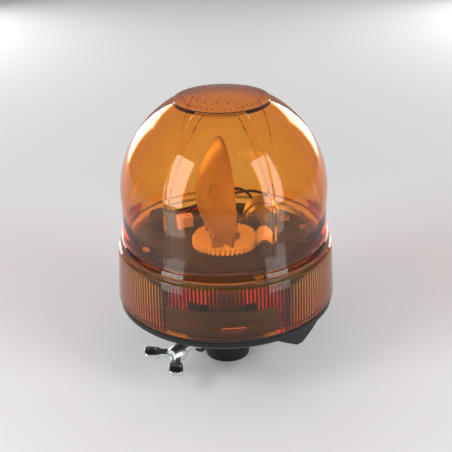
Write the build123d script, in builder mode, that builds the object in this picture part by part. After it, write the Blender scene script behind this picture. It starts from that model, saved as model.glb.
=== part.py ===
from build123d import *
import os
from math import acos, asin, atan, cos, degrees, hypot, pi, radians, sin, sqrt, tan

os.makedirs("parts", exist_ok=True)

# Rotating beacon for a 24 mm pole. Millimetres, +Z up the axis, origin at the centre of
# the pole socket's mouth. The front of the light, with its bayonet window, faces -Y.

# Heights, each one above the last
socket_height = 36.0
cone_rise = 10.0
rim_height = 4.5
gasket_proud = 2.3
seat_gap = 0.2
skirt_height = 35.0
neck_height = 14.5
barrel_height = 21.8
drum_height = 31.0
plate_thickness = 2.5

z_cone = socket_height
z_rim = z_cone + cone_rise
z_rim_top = z_rim + rim_height
z_lens = z_rim_top + gasket_proud + seat_gap
z_ledge = z_lens + skirt_height
z_barrel = z_ledge + neck_height
z_centre = z_barrel + barrel_height
z_drum = z_rim_top + drum_height
z_plate = z_drum + plate_thickness

# Lens: each radius outside the drum stands off the one inside it
drum_radius = 66.0
flute_clearance = 3.2
skirt_wall = 1.4
skirt_flare = 1.9
dome_margin = 0.8
barrel_draft = 0.6
neck_ring = 2.4
flute_root_radius = drum_radius + flute_clearance
ledge_radius = flute_root_radius + skirt_wall
lens_rim_radius = ledge_radius + skirt_flare
dome_radius = drum_radius + dome_margin
barrel_radius = dome_radius - barrel_draft
neck_radius = barrel_radius + neck_ring
ledge_round = 1.2
neck_bead = 0.5
neck_step = 1.1
lens_wall = 2.5
disc_radius = 30.0
disc_step = 0.6
disc_rise = 3.4
flute_depth = 1.0
flute_count = 180
flute_top_margin = 2.0
window_height = 18.6
panel_start = -32.0
panel_end = 27.0
panel_proud = 0.4
front = -90.0
back = 90.0

# Bayonet between lens and drum, angles from the front line
bayonet_height = 7.2
ledge_start = -4.0
ledge_end = 19.0
stop_width = 1.0
ledge_thickness = 2.2
ledge_reach = 2.0
lug_start = -2.5
lug_end = 9.5
lug_thickness = 2.8
lug_inner_radius = 66.6
bayonet_gap = 0.4

# Base
gasket_clearance = 1.4
gasket_width = 3.4
rim_lip = 0.6
gasket_inner_radius = drum_radius + gasket_clearance
gasket_outer_radius = gasket_inner_radius + gasket_width
rim_radius = gasket_outer_radius + rim_lip
rim_chamfer = 1.5
cone_inner_radius = 26.0
floor_thickness = 3.0
drum_wall = 2.5
hub_hole_radius = 7.2
gasket_sunk = 0.8
fit_gap = 0.1
spigot_wall = 1.6
spigot_depth = 3.0
grip_azimuth = -50.0
grip_depth = 7.0
grip_half_top = 18.0
grip_half_bottom = 2.5
grip_inner_radius = 54.0
rib_count = 12
rib_thickness = 1.8
rib_height = 5.0

# Screws
plate_screw_circle = 58.0
plate_screw_start = 20.0
plate_screw_radius = 1.9
plate_screw_length = 14.0
socket_screw_circle = 20.0
socket_screw_start = 2.0
socket_screw_radius = 1.9
socket_screw_length = 11.0
strap_screw_radius = 1.4
strap_screw_length = 7.0
foot_screw_radius = 1.2
foot_screw_length = 8.0
boss_wall = 2.5
head_ratio = 1.85
head_height = 1.8
slot_width = 0.9
slot_depth = 0.9
screw_gap = 0.1
hole_gap = 0.25

# Pole socket and its clamp
pole_bore_radius = 12.2
socket_radius = 15.2
socket_flange_radius = 24.5
socket_flange_thickness = 3.0
bore_depth = 27.0
clamp_azimuth = 227.0
clamp_height = 21.5
boss_radius = 8.0
boss_reach = 30.0
gusset_reach = 27.0
boss_bore_radius = 5.5
insert_length = 12.0
thread_radius = 4.0
thread_gap = 0.05
pad_length = 3.6
pad_gap = 0.15
pad_chamfer = 0.45
screw_hub_reach = 50.0
hub_radius = 6.2
hub_length = 9.0
hub_taper = 8.0
wing_reach = 21.0
wing_lean = 45.0
wing_turn = 9.0
wing_root_width = 6.0
wing_width = 9.6
wing_thickness = 3.0
wing_rim = 1.3
wing_recess = 0.9

# Centre contact
holder_radius = 7.0
holder_height = 14.0
holder_bore_radius = 4.6
holder_cap = 1.6
plunger_radius = 2.6
plunger_tip_radius = 4.2
plunger_tip_height = 2.4
plunger_recess = 0.1
plunger_gap = 0.08
collar_radius = 3.4
collar_thickness = 0.8
spring_wire = 0.35
spring_turns = 4
spring_clear = 0.5
earth_ring_thickness = 0.8
earth_ring_inner_radius = 9.2
earth_ring_outer_radius = 11.3

# Worm drive
module = 1.0
wheel_teeth = 42
wheel_thickness = 5.0
wheel_lift = 0.5
worm_pitch_radius = 5.0
worm_turns = 5
tooth_thinning = 0.2
worm_thinning = 0.15
flank_angle = 20.0
wheel_flank_angle = 24.0
root_clearance = 0.25
tooth_sink = 0.4
web_recess = 2.0
hub_wall = 2.0
rim_wall = 2.0
lamp_contact_radius = 1.8
shaft_radius = 1.5
shaft_gap = 0.05
motor_radius = 12.0
motor_length = 20.0
motor_start = 24.0
motor_round = 1.5
motor_nose_radius = 4.0
motor_nose_length = 2.0
end_cap_length = 2.5
end_gap = 0.6
end_cap_radius = 11.0
trough_gap = 1.5
cradle_gap = 0.2
trough_wall = 1.8
bearing_start = -15.0
bearing_thickness = 3.0
bearing_radius = 5.0
strap_thickness = 1.1
strap_width = 8.0
strap_foot = 7.0
terminal_offset = 6.6
terminal_reach = 3.5
terminal_width = 3.0
terminal_thickness = 0.8

# Post, bush and lamp
post_radius = 8.0
post_bore_radius = 5.0
bush_wall = 1.8
running_gap = 0.05
shoulder_radius = 10.5
shoulder_gap = 0.1
ring_thickness = 1.0
ring_depth = 0.8
ring_reach = 2.2
post_height = 10.0
cup_stem = 7.0
cup_height = 12.5
cup_wall = 1.0
cup_floor = 2.0
lamp_base_radius = 7.5
lamp_base_height = 13.0
lamp_base_chamfer = 0.5
lamp_gap = 0.12
lamp_pin_radius = 0.9
lamp_pin_reach = 0.8
lamp_pin_height = 5.0
lamp_twist = 20.0
glass_radius = 6.2
glass_wall = 0.8
glass_height = 25.0
filament_height = 11.0
filament_length = 5.0
filament_radius = 0.8
filament_support_radius = 0.25

# Reflector
focal_length = 17.5
beam_height = 120.0
beam_azimuth = 11.0
dish_wall = 1.3
lip_width = 0.6
lip_depth = 1.6
dish_floor_gap = 4.5
foot_y = 13.0
foot_width = 6.0
foot_back = 11.5
foot_front = 4.0
foot_height = 9.5
post_clearance = 3.0
mark_radius = 3.7
mark_width = 0.6
mark_proud = 0.5

# Parts on the plate
suppressor_x = -44.0
suppressor_y = 30.5
suppressor_radius = 9.6
suppressor_height = 9.0
suppressor_round = 1.0
suppressor_lid_radius = 7.7
suppressor_lid_sunk = 0.5
block_x = -28.0
block_y = 28.0
block_length = 11.0
block_width = 7.5
block_height = 7.5
block_turn = 20.0
block_round = 1.0
grommet_x = -12.0
grommet_y = 44.0
grommet_radius = 5.0
grommet_lip = 1.2
wire_radius = 0.9
wire_share = 0.45
wire_riser = 5.0

# Derived sizes of the drive
worm_lead = pi * module
wheel_pitch_radius = wheel_teeth * module / 2
drive_x = wheel_pitch_radius + worm_pitch_radius
z_wheel = z_plate + wheel_lift
z_wheel_top = z_wheel + wheel_thickness
drive_z = z_wheel + wheel_thickness / 2
wheel_tip_radius = wheel_pitch_radius + module
wheel_root_radius = wheel_pitch_radius - module - root_clearance
worm_tip_radius = worm_pitch_radius + module
worm_root_radius = worm_pitch_radius - module - root_clearance
lead_angle = degrees(atan(worm_lead / (2 * pi * worm_pitch_radius)))
motor_end = motor_start + motor_length
drive_end = motor_end + end_cap_length
z_post = z_plate + post_height
z_cup = z_post + cup_height
z_lamp = z_post + cup_floor
z_glass = z_lamp + lamp_base_height


def meridian(azimuth):
    """Upright plane through the axis: its x runs out along the azimuth and its y runs up."""
    a = radians(azimuth)
    return Plane(origin=(0, 0, 0), x_dir=(cos(a), sin(a), 0), z_dir=(sin(a), -cos(a), 0))


def drive_plane(y):
    """Plane across the worm axis: its x points at the wheel, its y up and its normal along +Y."""
    return Plane(origin=(drive_x, y, drive_z), x_dir=(-1, 0, 0), z_dir=(0, 1, 0))


def clamp_plane(reach):
    """Plane across the clamp screw at a distance from the axis: its y is up, its normal points in."""
    a = radians(clamp_azimuth)
    centre = (reach * cos(a), reach * sin(a), clamp_height)
    return Plane(origin=centre, x_dir=(sin(a), -cos(a), 0), z_dir=(-cos(a), -sin(a), 0))


def polar(radius, azimuth, z=0.0):
    """Point at a radius and azimuth round the axis."""
    a = radians(azimuth)
    return (radius * cos(a), radius * sin(a), z)


def sector(inner, outer, start, end, low, high):
    """Piece of a ring between two azimuths and two heights."""
    with BuildPart() as piece:
        with BuildSketch(meridian(start)):
            with Locations(((inner + outer) / 2, (low + high) / 2)):
                Rectangle(outer - inner, high - low)
        revolve(axis=Axis.Z, revolution_arc=end - start)
    return piece.part


def ring(inner, outer, low, high):
    """Plain ring round the axis."""
    with BuildPart() as piece:
        with BuildSketch(Plane.XY.offset(low)):
            Circle(outer)
            Circle(inner, mode=Mode.SUBTRACT)
        extrude(amount=high - low)
    return piece.part


def screw(plane, radius, length):
    """Slotted pan-head screw: its head stands on the plane and its shank runs down from it."""
    head_radius = radius * head_ratio
    with BuildPart() as piece:
        with BuildSketch(plane):
            Circle(head_radius)
        extrude(amount=head_height)
        with BuildSketch(plane.offset(head_height)):
            Rectangle(3 * head_radius, slot_width)
        extrude(amount=-slot_depth, mode=Mode.SUBTRACT)
        with BuildSketch(plane):
            Circle(radius)
        extrude(amount=-length)
    return piece.part


def corner_radii(points):
    """Largest arcs that a wire's route leaves room for, one at each corner."""
    route = [Vector(*point) for point in points]
    radii = []
    for before, corner, after in zip(route, route[1:], route[2:]):
        turn = radians((corner - before).get_angle(after - corner))
        run = min((corner - before).length, (after - corner).length)
        radii.append(wire_share * run / tan(turn / 2))
    return radii


def wire(points, radius=wire_radius):
    """Insulated wire along straight runs joined by tangent arcs."""
    radii = corner_radii(points)
    with BuildPart() as piece:
        with BuildLine() as path:
            FilletPolyline(*points, radius=radii)
        with BuildSketch(Plane(origin=path.line @ 0, z_dir=path.line % 0)):
            Circle(radius)
        sweep(path=path.line)
    return piece.part


def skirt_section(inset):
    """Half section of the lens from its rim up over the ledge and the stepped neck."""
    with BuildSketch(Plane.XZ) as section:
        with BuildLine():
            Polyline(
                (0, z_lens),
                (lens_rim_radius - inset, z_lens),
                (ledge_radius - inset, z_ledge - ledge_round),
                (ledge_radius - ledge_round - inset, z_ledge),
                (neck_radius - inset, z_ledge + ledge_round),
                (neck_radius - inset, z_ledge + 2 * ledge_round),
                (neck_radius + neck_bead - inset, z_ledge + 3 * ledge_round),
                (neck_radius - neck_bead - inset, z_ledge + 5 * ledge_round),
                (neck_radius - neck_step - neck_bead - inset, z_ledge + 6 * ledge_round),
                (barrel_radius + neck_bead - inset, z_barrel - ledge_round),
                (barrel_radius - inset, z_barrel),
                (0, z_barrel),
                close=True,
            )
        make_face()
    return section.sketch


def dome_section(inset, step):
    """Half section of the lens from the barrel up over the dome to the centre of the top disc."""
    radius = dome_radius - inset
    cap_radius = (disc_radius**2 + disc_rise**2) / (2 * disc_rise)
    edge_angle = degrees(acos(disc_radius / radius))
    z_edge = z_centre + sqrt(dome_radius**2 - disc_radius**2) + step
    cap_centre = z_edge + disc_rise - cap_radius
    cap_angle = degrees(asin(disc_radius / (cap_radius - inset)))
    with BuildSketch(Plane.XZ) as section:
        with BuildLine():
            arc = CenterArc((0, z_centre), radius, 0, edge_angle)
            cap = CenterArc((0, cap_centre), cap_radius - inset, 90 - cap_angle, cap_angle)
            Line(arc @ 1, cap @ 0)
            Polyline(cap @ 1, (0, z_barrel), (barrel_radius - inset, z_barrel), arc @ 0)
        make_face()
    return section.sketch


# Lens: one moulded shade with a fluted skirt, two bayonet lugs and a raised panel front and back
window_top = z_lens + window_height
flute_top = z_ledge - flute_top_margin
flute_pitch = 360 / flute_count
flute_roots = [polar(flute_root_radius, flute_pitch * i) for i in range(flute_count)]
flute_crests = [polar(flute_root_radius - flute_depth, flute_pitch * (i + 0.5)) for i in range(flute_count)]
flute_points = [point[:2] for pair in zip(flute_roots, flute_crests) for point in pair]
panel_band = 2 * panel_proud
z_lug = z_lens + bayonet_height - bayonet_gap - lug_thickness

with BuildPart() as lens:
    revolve(skirt_section(0), axis=Axis.Z)
    revolve(dome_section(0, disc_step), axis=Axis.Z)
    for side in (front, back):
        with BuildSketch(meridian(side + panel_start)):
            with BuildLine():
                panel_top = degrees(acos(disc_radius / dome_radius))
                outer = CenterArc((0, z_centre), dome_radius + panel_proud, 0, panel_top)
                inner = CenterArc((0, z_centre), dome_radius - panel_band, 0, panel_top)
                Line(outer @ 1, inner @ 1)
                foot = (barrel_radius + panel_proud, z_barrel)
                Polyline(outer @ 0, foot, (barrel_radius - panel_band, z_barrel), inner @ 0)
            make_face()
        revolve(axis=Axis.Z, revolution_arc=panel_end - panel_start)
    with BuildSketch(Plane.XY.offset(z_lens)):
        Polygon(*flute_points, align=None)
    extrude(amount=flute_top - z_lens, mode=Mode.SUBTRACT)
    with BuildSketch(Plane.XZ):
        with BuildLine():
            Polyline(
                (0, flute_top),
                (flute_root_radius - flute_depth, flute_top),
                (neck_radius - neck_bead - lens_wall, z_ledge + 2 * ledge_round),
                (neck_radius - neck_bead - lens_wall, z_ledge + 4 * ledge_round),
                (barrel_radius - lens_wall, z_ledge + 6 * ledge_round),
                (barrel_radius - lens_wall, z_barrel),
                (0, z_barrel),
                close=True,
            )
        make_face()
    revolve(axis=Axis.Z, mode=Mode.SUBTRACT)
    revolve(dome_section(lens_wall, 0), axis=Axis.Z, mode=Mode.SUBTRACT)
    for side in (front, back):
        start = side + panel_start
        end = side + panel_end
        window = sector(neck_radius - lens_wall, flute_root_radius, start, end, z_lens, window_top)
        add(window, mode=Mode.SUBTRACT)
        add(
            sector(
                lug_inner_radius,
                flute_root_radius + bayonet_gap,
                side + lug_start,
                side + lug_end,
                z_lug,
                z_lug + lug_thickness,
            )
        )
lens.part.label = "lens"
export_step(lens.part, "parts/lens.step")

# Base: flange, shallow cone below and a drum that rises inside the lens skirt
drum_inner = drum_radius - drum_wall
cone_slope = cone_rise / (rim_radius - rim_chamfer - cone_inner_radius)
z_floor = z_cone + floor_thickness
z_floor_edge = z_floor + cone_slope * (drum_inner - cone_inner_radius)
z_stop = z_lens + bayonet_height

with BuildPart() as base_housing:
    with BuildSketch(Plane.XZ):
        with BuildLine():
            Polyline(
                (hub_hole_radius, z_cone),
                (cone_inner_radius, z_cone),
                (rim_radius - rim_chamfer, z_rim),
                (rim_radius, z_rim + rim_chamfer),
                (rim_radius, z_rim_top),
                (drum_radius, z_rim_top),
                (drum_radius, z_drum),
                (drum_inner, z_drum),
                (drum_inner, z_floor_edge),
                (cone_inner_radius, z_floor),
                (hub_hole_radius, z_floor),
                close=True,
            )
        make_face()
    revolve(axis=Axis.Z)
    groove_inner = gasket_inner_radius - fit_gap
    groove_outer = gasket_outer_radius + fit_gap
    add(ring(groove_inner, groove_outer, z_rim_top - gasket_sunk, z_rim_top), mode=Mode.SUBTRACT)
    with BuildSketch(Plane.XY.offset(z_floor)):
        with PolarLocations(0, rib_count):
            with Locations((cone_inner_radius, 0)):
                Rectangle(drum_inner - cone_inner_radius + fit_gap, rib_thickness, align=(Align.MIN, Align.CENTER))
    extrude(amount=z_floor_edge - z_floor + rib_height)
    with BuildSketch(Plane.XY.offset(z_floor)):
        with PolarLocations(plate_screw_circle, 4, start_angle=plate_screw_start):
            Circle(plate_screw_radius + boss_wall)
    extrude(amount=z_drum - z_floor)
    with BuildSketch(Plane.XZ):
        with BuildLine():
            Polyline(
                (cone_inner_radius, 0),
                (cone_inner_radius, z_cone),
                (rim_radius - rim_chamfer, z_rim),
                (rim_radius - rim_chamfer, 0),
                close=True,
            )
        make_face()
    revolve(axis=Axis.Z, mode=Mode.SUBTRACT)
    with BuildSketch(Plane.XY.offset(z_cone)):
        with PolarLocations(socket_screw_circle, 4, start_angle=socket_screw_start):
            Circle(socket_screw_radius + boss_wall)
    extrude(amount=floor_thickness + socket_screw_length)
    with BuildSketch(Plane.XY.offset(z_drum)):
        with PolarLocations(plate_screw_circle, 4, start_angle=plate_screw_start):
            Circle(plate_screw_radius + screw_gap)
    extrude(amount=-plate_screw_length, mode=Mode.SUBTRACT)
    with BuildSketch(Plane.XY.offset(z_cone)):
        with PolarLocations(socket_screw_circle, 4, start_angle=socket_screw_start):
            Circle(socket_screw_radius + screw_gap)
    extrude(amount=socket_screw_length, mode=Mode.SUBTRACT)
    for side in (front, back):
        inner = drum_radius - drum_wall / 2
        outer = drum_radius + ledge_reach
        start = side + ledge_start
        add(sector(inner, outer, start, side + ledge_end, z_stop, z_stop + ledge_thickness))
        add(sector(inner, outer, start, start + stop_width, z_lug, z_stop))
    grip_plane = meridian(grip_azimuth)
    grip_face = Plane(origin=(0, 0, 0), x_dir=-grip_plane.z_dir, z_dir=grip_plane.x_dir)
    with BuildSketch(grip_face.offset(grip_inner_radius)):
        with BuildLine():
            Polyline(
                (-grip_half_top, z_rim + rim_chamfer),
                (-grip_half_bottom, z_rim - grip_depth),
                (grip_half_bottom, z_rim - grip_depth),
                (grip_half_top, z_rim + rim_chamfer),
                close=True,
            )
        make_face()
    extrude(amount=rim_radius - grip_inner_radius)
    add(ring(rim_radius, 2 * rim_radius, 0, z_drum), mode=Mode.SUBTRACT)
base_housing.part.label = "base_housing"
export_step(base_housing.part, "parts/base_housing.step")

with BuildPart() as lens_gasket:
    add(ring(gasket_inner_radius, gasket_outer_radius, z_rim_top - gasket_sunk, z_rim_top + gasket_proud))
lens_gasket.part.label = "lens_gasket"
export_step(lens_gasket.part, "parts/lens_gasket.step")

# Chassis plate: lid of the drum with the drive's trough and the central post moulded on
motor_bed = motor_radius + cradle_gap
worm_bed = worm_tip_radius + trough_gap
bed_front = bearing_start - trough_gap
bed_length = motor_nose_length + motor_length + end_cap_length + end_gap

with BuildPart() as trough:
    with BuildSketch(drive_plane(bed_front - trough_wall)):
        Circle(worm_bed + trough_wall)
    extrude(amount=motor_start - bed_front)
    with BuildSketch(drive_plane(motor_start - motor_nose_length - trough_wall)):
        Circle(motor_bed + trough_wall)
    extrude(amount=bed_length + 2 * trough_wall)
    split(bisect_by=Plane.XY.offset(z_plate), keep=Keep.BOTTOM)

strap_y = motor_start + motor_length / 2
strap_hole_x = motor_radius + strap_thickness + strap_foot / 2

with BuildPart() as chassis_plate:
    with BuildSketch(Plane.XY.offset(z_drum)):
        Circle(drum_radius)
    extrude(amount=plate_thickness)
    spigot_outer = drum_inner - hole_gap
    add(ring(spigot_outer - spigot_wall, spigot_outer, z_drum - spigot_depth, z_drum))
    with BuildSketch(Plane.XY.offset(z_drum)):
        with PolarLocations(plate_screw_circle, 4, start_angle=plate_screw_start):
            Circle(plate_screw_radius + boss_wall + hole_gap)
    extrude(amount=-spigot_depth, mode=Mode.SUBTRACT)
    add(trough.part)
    with BuildSketch(Plane.XY.offset(z_plate)):
        with Locations((drive_x - strap_hole_x, strap_y), (drive_x + strap_hole_x, strap_y)):
            Circle(strap_screw_radius + boss_wall / 2)
    extrude(amount=-strap_screw_length - trough_wall)
    with BuildSketch(Plane.XY.offset(z_plate)):
        Circle(shoulder_radius)
    extrude(amount=wheel_lift - shoulder_gap)
    with BuildSketch(Plane.XY.offset(z_plate)):
        Circle(post_radius)
    extrude(amount=post_height)
    with BuildSketch(Plane.XY.offset(z_post)):
        Circle(post_bore_radius)
    extrude(amount=-post_height - plate_thickness, mode=Mode.SUBTRACT)
    z_ring = z_wheel_top + shoulder_gap
    add(ring(post_radius - ring_depth, 2 * post_radius, z_ring, z_ring + ring_thickness), mode=Mode.SUBTRACT)
    with BuildSketch(drive_plane(bed_front)):
        Circle(worm_bed)
    extrude(amount=motor_start - bed_front, mode=Mode.SUBTRACT)
    with BuildSketch(drive_plane(motor_start - motor_nose_length)):
        Circle(motor_bed)
    extrude(amount=bed_length, mode=Mode.SUBTRACT)
    with BuildSketch(Plane.XY.offset(z_plate)):
        with PolarLocations(plate_screw_circle, 4, start_angle=plate_screw_start):
            Circle(plate_screw_radius + hole_gap)
        with Locations((grommet_x, grommet_y)):
            Circle(grommet_radius)
    extrude(amount=-plate_thickness, mode=Mode.SUBTRACT)
    with BuildSketch(Plane.XY.offset(z_plate)):
        with Locations((drive_x - strap_hole_x, strap_y), (drive_x + strap_hole_x, strap_y)):
            Circle(strap_screw_radius + screw_gap)
    extrude(amount=-strap_screw_length, mode=Mode.SUBTRACT)
chassis_plate.part.label = "chassis_plate"
export_step(chassis_plate.part, "parts/chassis_plate.step")

with BuildPart() as plate_screws:
    for i in range(4):
        x, y, z = polar(plate_screw_circle, plate_screw_start + 90 * i, z_plate)
        add(screw(Plane.XY.offset(z).shift_origin((x, y, z)), plate_screw_radius, plate_screw_length))
plate_screws.part.label = "plate_screws"
export_step(plate_screws.part, "parts/plate_screws.step")

# Pole socket: bore for the pole, clamp boss on the front left and a flange under the base
z_socket_flange = z_cone - socket_flange_thickness

with BuildPart() as pole_socket:
    with BuildSketch(Plane.XY):
        Circle(socket_radius)
    extrude(amount=z_cone)
    with BuildSketch(Plane.XY.offset(z_socket_flange)):
        Circle(socket_flange_radius)
    extrude(amount=socket_flange_thickness)
    with BuildSketch(clamp_plane(boss_reach)):
        Circle(boss_radius)
    extrude(amount=boss_reach)
    with BuildSketch(clamp_plane(0)):
        with BuildLine():
            Polyline(
                (-boss_radius, 0),
                (boss_radius, 0),
                (boss_radius, z_socket_flange - clamp_height),
                (-boss_radius, z_socket_flange - clamp_height),
                close=True,
            )
        make_face()
    extrude(amount=-gusset_reach)
    with BuildSketch(Plane.XY.offset(z_cone)):
        Circle(holder_radius + fit_gap)
    extrude(amount=bore_depth - z_cone, mode=Mode.SUBTRACT)
    with BuildSketch(Plane.XY):
        Circle(pole_bore_radius)
    extrude(amount=bore_depth, mode=Mode.SUBTRACT)
    with BuildSketch(Plane.XY.offset(bore_depth)):
        Circle(earth_ring_outer_radius + fit_gap)
    extrude(amount=earth_ring_thickness, mode=Mode.SUBTRACT)
    with BuildSketch(clamp_plane(boss_reach)):
        Circle(boss_bore_radius)
    extrude(amount=boss_reach, mode=Mode.SUBTRACT)
    with BuildSketch(Plane.XY.offset(z_socket_flange)):
        with PolarLocations(socket_screw_circle, 4, start_angle=socket_screw_start):
            Circle(socket_screw_radius + hole_gap)
    extrude(amount=socket_flange_thickness, mode=Mode.SUBTRACT)
pole_socket.part.label = "pole_socket"
export_step(pole_socket.part, "parts/pole_socket.step")

with BuildPart() as socket_screws:
    for i in range(4):
        x, y, z = polar(socket_screw_circle, socket_screw_start + 90 * i, z_socket_flange)
        under = Plane(origin=(x, y, z), x_dir=(1, 0, 0), z_dir=(0, 0, -1))
        add(screw(under, socket_screw_radius, socket_screw_length))
socket_screws.part.label = "socket_screws"
export_step(socket_screws.part, "parts/socket_screws.step")

# Clamp: brass insert in the boss, wing screw through it and a pad that bears on the pole
insert_end = boss_reach - fit_gap
pad_back = pole_bore_radius + pad_gap + pad_length

with BuildPart() as clamp_insert:
    with BuildSketch(clamp_plane(insert_end)):
        Circle(boss_bore_radius - shaft_gap)
        Circle(thread_radius + thread_gap, mode=Mode.SUBTRACT)
    extrude(amount=insert_length - fit_gap)
clamp_insert.part.label = "clamp_insert"
export_step(clamp_insert.part, "parts/clamp_insert.step")

with BuildPart() as clamp_pad:
    with BuildSketch(clamp_plane(pad_back)):
        Circle(boss_bore_radius - pad_gap)
    extrude(amount=pad_length)
    chamfer(clamp_pad.edges().filter_by(GeomType.CIRCLE), pad_chamfer)
clamp_pad.part.label = "clamp_pad"
export_step(clamp_pad.part, "parts/clamp_pad.step")

hub_start = screw_hub_reach - hub_length / 2
with BuildPart() as wing_screw:
    with BuildSketch(clamp_plane(hub_start + fit_gap)):
        Circle(thread_radius)
    extrude(amount=hub_start - pad_back - fit_gap)
    with BuildSketch(clamp_plane(hub_start)):
        Circle(hub_radius)
    extrude(amount=-hub_length, taper=hub_taper)
    wing_middle = clamp_plane(screw_hub_reach)
    turn = radians(wing_turn)
    lean_out = radians(wing_lean)
    for side in (1, -1):
        level = (wing_middle.x_dir * cos(turn) + wing_middle.y_dir * sin(turn)) * side
        out = level * cos(lean_out) - wing_middle.z_dir * sin(lean_out)
        blade_plane = Plane(origin=wing_middle.origin, x_dir=out, z_dir=level.cross(wing_middle.z_dir))
        blade_length = wing_reach - wing_width / 2
        with BuildSketch(blade_plane):
            with Locations((blade_length / 2, 0)):
                Rectangle(blade_length, wing_root_width)
            with Locations((wing_reach - wing_width / 2, 0)):
                Rectangle(wing_width, wing_width)
            fillet(vertices().group_by(Axis.X)[-1], wing_width / 3)
        extrude(amount=wing_thickness / 2, both=True)
        for face in (wing_thickness / 2, -wing_thickness / 2):
            with BuildSketch(blade_plane.offset(face)):
                with Locations((wing_reach - wing_width / 2, 0)):
                    RectangleRounded(wing_width - 2 * wing_rim, wing_width - 2 * wing_rim, wing_width / 4)
            extrude(amount=-wing_recess * face / abs(face), mode=Mode.SUBTRACT)
wing_screw.part.label = "wing_screw"
export_step(wing_screw.part, "parts/wing_screw.step")

# Centre contact: an insulating cup, a plunger behind the bore's end for the pole's pin, and its spring
z_holder = bore_depth + earth_ring_thickness
z_holder_top = z_holder + holder_height
z_tip = bore_depth + plunger_recess
z_tip_top = z_tip + plunger_tip_height
z_collar = z_holder_top + shaft_gap
spring_radius = plunger_radius + spring_clear + spring_wire
spring_low = z_tip_top + spring_wire + shaft_gap
spring_high = z_holder_top - holder_cap - spring_wire - shaft_gap

with BuildPart() as contact_holder:
    with BuildSketch(Plane.XY.offset(z_holder)):
        Circle(holder_radius)
    extrude(amount=holder_height)
    with BuildSketch(Plane.XY.offset(z_holder)):
        Circle(holder_bore_radius)
    extrude(amount=holder_height - holder_cap, mode=Mode.SUBTRACT)
    with BuildSketch(Plane.XY.offset(z_holder_top)):
        Circle(plunger_radius + plunger_gap)
    extrude(amount=-holder_cap, mode=Mode.SUBTRACT)
contact_holder.part.label = "contact_holder"
export_step(contact_holder.part, "parts/contact_holder.step")

with BuildPart() as contact_plunger:
    with BuildSketch(Plane.XY.offset(z_tip)):
        Circle(plunger_tip_radius)
    extrude(amount=plunger_tip_height)
    chamfer(contact_plunger.edges().group_by(Axis.Z)[0], plunger_tip_height / 3)
    with BuildSketch(Plane.XY.offset(z_tip_top)):
        Circle(plunger_radius)
    extrude(amount=z_collar - z_tip_top)
    with BuildSketch(Plane.XY.offset(z_collar)):
        Circle(collar_radius)
    extrude(amount=collar_thickness)
contact_plunger.part.label = "contact_plunger"
export_step(contact_plunger.part, "parts/contact_plunger.step")

spring_height = spring_high - spring_low
with BuildPart() as contact_spring:
    with BuildLine() as coil:
        Helix(spring_height / spring_turns, spring_height, spring_radius, center=(0, 0, spring_low))
    with BuildSketch(Plane(origin=coil.line @ 0, z_dir=coil.line % 0)):
        Circle(spring_wire)
    sweep(path=coil.line, is_frenet=True)
contact_spring.part.label = "contact_spring"
export_step(contact_spring.part, "parts/contact_spring.step")

with BuildPart() as earth_ring:
    add(ring(earth_ring_inner_radius, earth_ring_outer_radius, bore_depth, z_holder))
earth_ring.part.label = "earth_ring"
export_step(earth_ring.part, "parts/earth_ring.step")

# Motor in its trough, strap over it, and the worm on its shaft with an end bearing
with BuildPart() as motor_can:
    with BuildSketch(drive_plane(motor_start)):
        Circle(motor_radius)
    extrude(amount=motor_length)
    fillet(motor_can.edges().filter_by(GeomType.CIRCLE).group_by(Axis.Y)[0], motor_round)
    with BuildSketch(drive_plane(motor_start)):
        Circle(motor_nose_radius)
    extrude(amount=-motor_nose_length)
    with BuildSketch(drive_plane(motor_start - motor_nose_length)):
        Circle(shaft_radius + shaft_gap)
    extrude(amount=motor_nose_length + motor_length / 2, mode=Mode.SUBTRACT)
motor_can.part.label = "motor_can"
export_step(motor_can.part, "parts/motor_can.step")

with BuildPart() as motor_end_cap:
    with BuildSketch(drive_plane(motor_end)):
        Circle(end_cap_radius)
    extrude(amount=end_cap_length)
    with BuildSketch(drive_plane(motor_end + end_cap_length)):
        Circle(motor_nose_radius)
    extrude(amount=end_gap - fit_gap)
motor_end_cap.part.label = "motor_end_cap"
export_step(motor_end_cap.part, "parts/motor_end_cap.step")

with BuildPart() as motor_terminals:
    with BuildSketch(drive_plane(drive_end)):
        with Locations((-terminal_offset, terminal_width), (terminal_offset, terminal_width)):
            Rectangle(terminal_thickness, terminal_width)
    extrude(amount=terminal_reach)
motor_terminals.part.label = "motor_terminals"
export_step(motor_terminals.part, "parts/motor_terminals.step")

strap_inner = motor_radius + shaft_gap
strap_outer = strap_inner + strap_thickness
foot_low = z_plate - drive_z
with BuildPart() as motor_strap:
    with BuildSketch(drive_plane(strap_y - strap_width / 2)):
        Circle(strap_outer)
        foot_span = 2 * (strap_outer + strap_foot)
        with Locations((0, foot_low + strap_thickness / 2)):
            Rectangle(foot_span, strap_thickness)
        with Locations((0, foot_low)):
            Rectangle(foot_span, 2 * strap_outer, align=(Align.CENTER, Align.MAX), mode=Mode.SUBTRACT)
        Circle(strap_inner, mode=Mode.SUBTRACT)
    extrude(amount=strap_width)
    with BuildSketch(Plane.XY.offset(z_plate)):
        with Locations((drive_x - strap_hole_x, strap_y), (drive_x + strap_hole_x, strap_y)):
            Circle(strap_screw_radius + hole_gap)
    extrude(amount=strap_thickness, mode=Mode.SUBTRACT)
motor_strap.part.label = "motor_strap"
export_step(motor_strap.part, "parts/motor_strap.step")

with BuildPart() as strap_screws:
    for x in (drive_x - strap_hole_x, drive_x + strap_hole_x):
        seat = Plane.XY.offset(z_plate + strap_thickness).shift_origin((x, strap_y, z_plate + strap_thickness))
        add(screw(seat, strap_screw_radius, strap_screw_length))
strap_screws.part.label = "strap_screws"
export_step(strap_screws.part, "parts/strap_screws.step")

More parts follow.
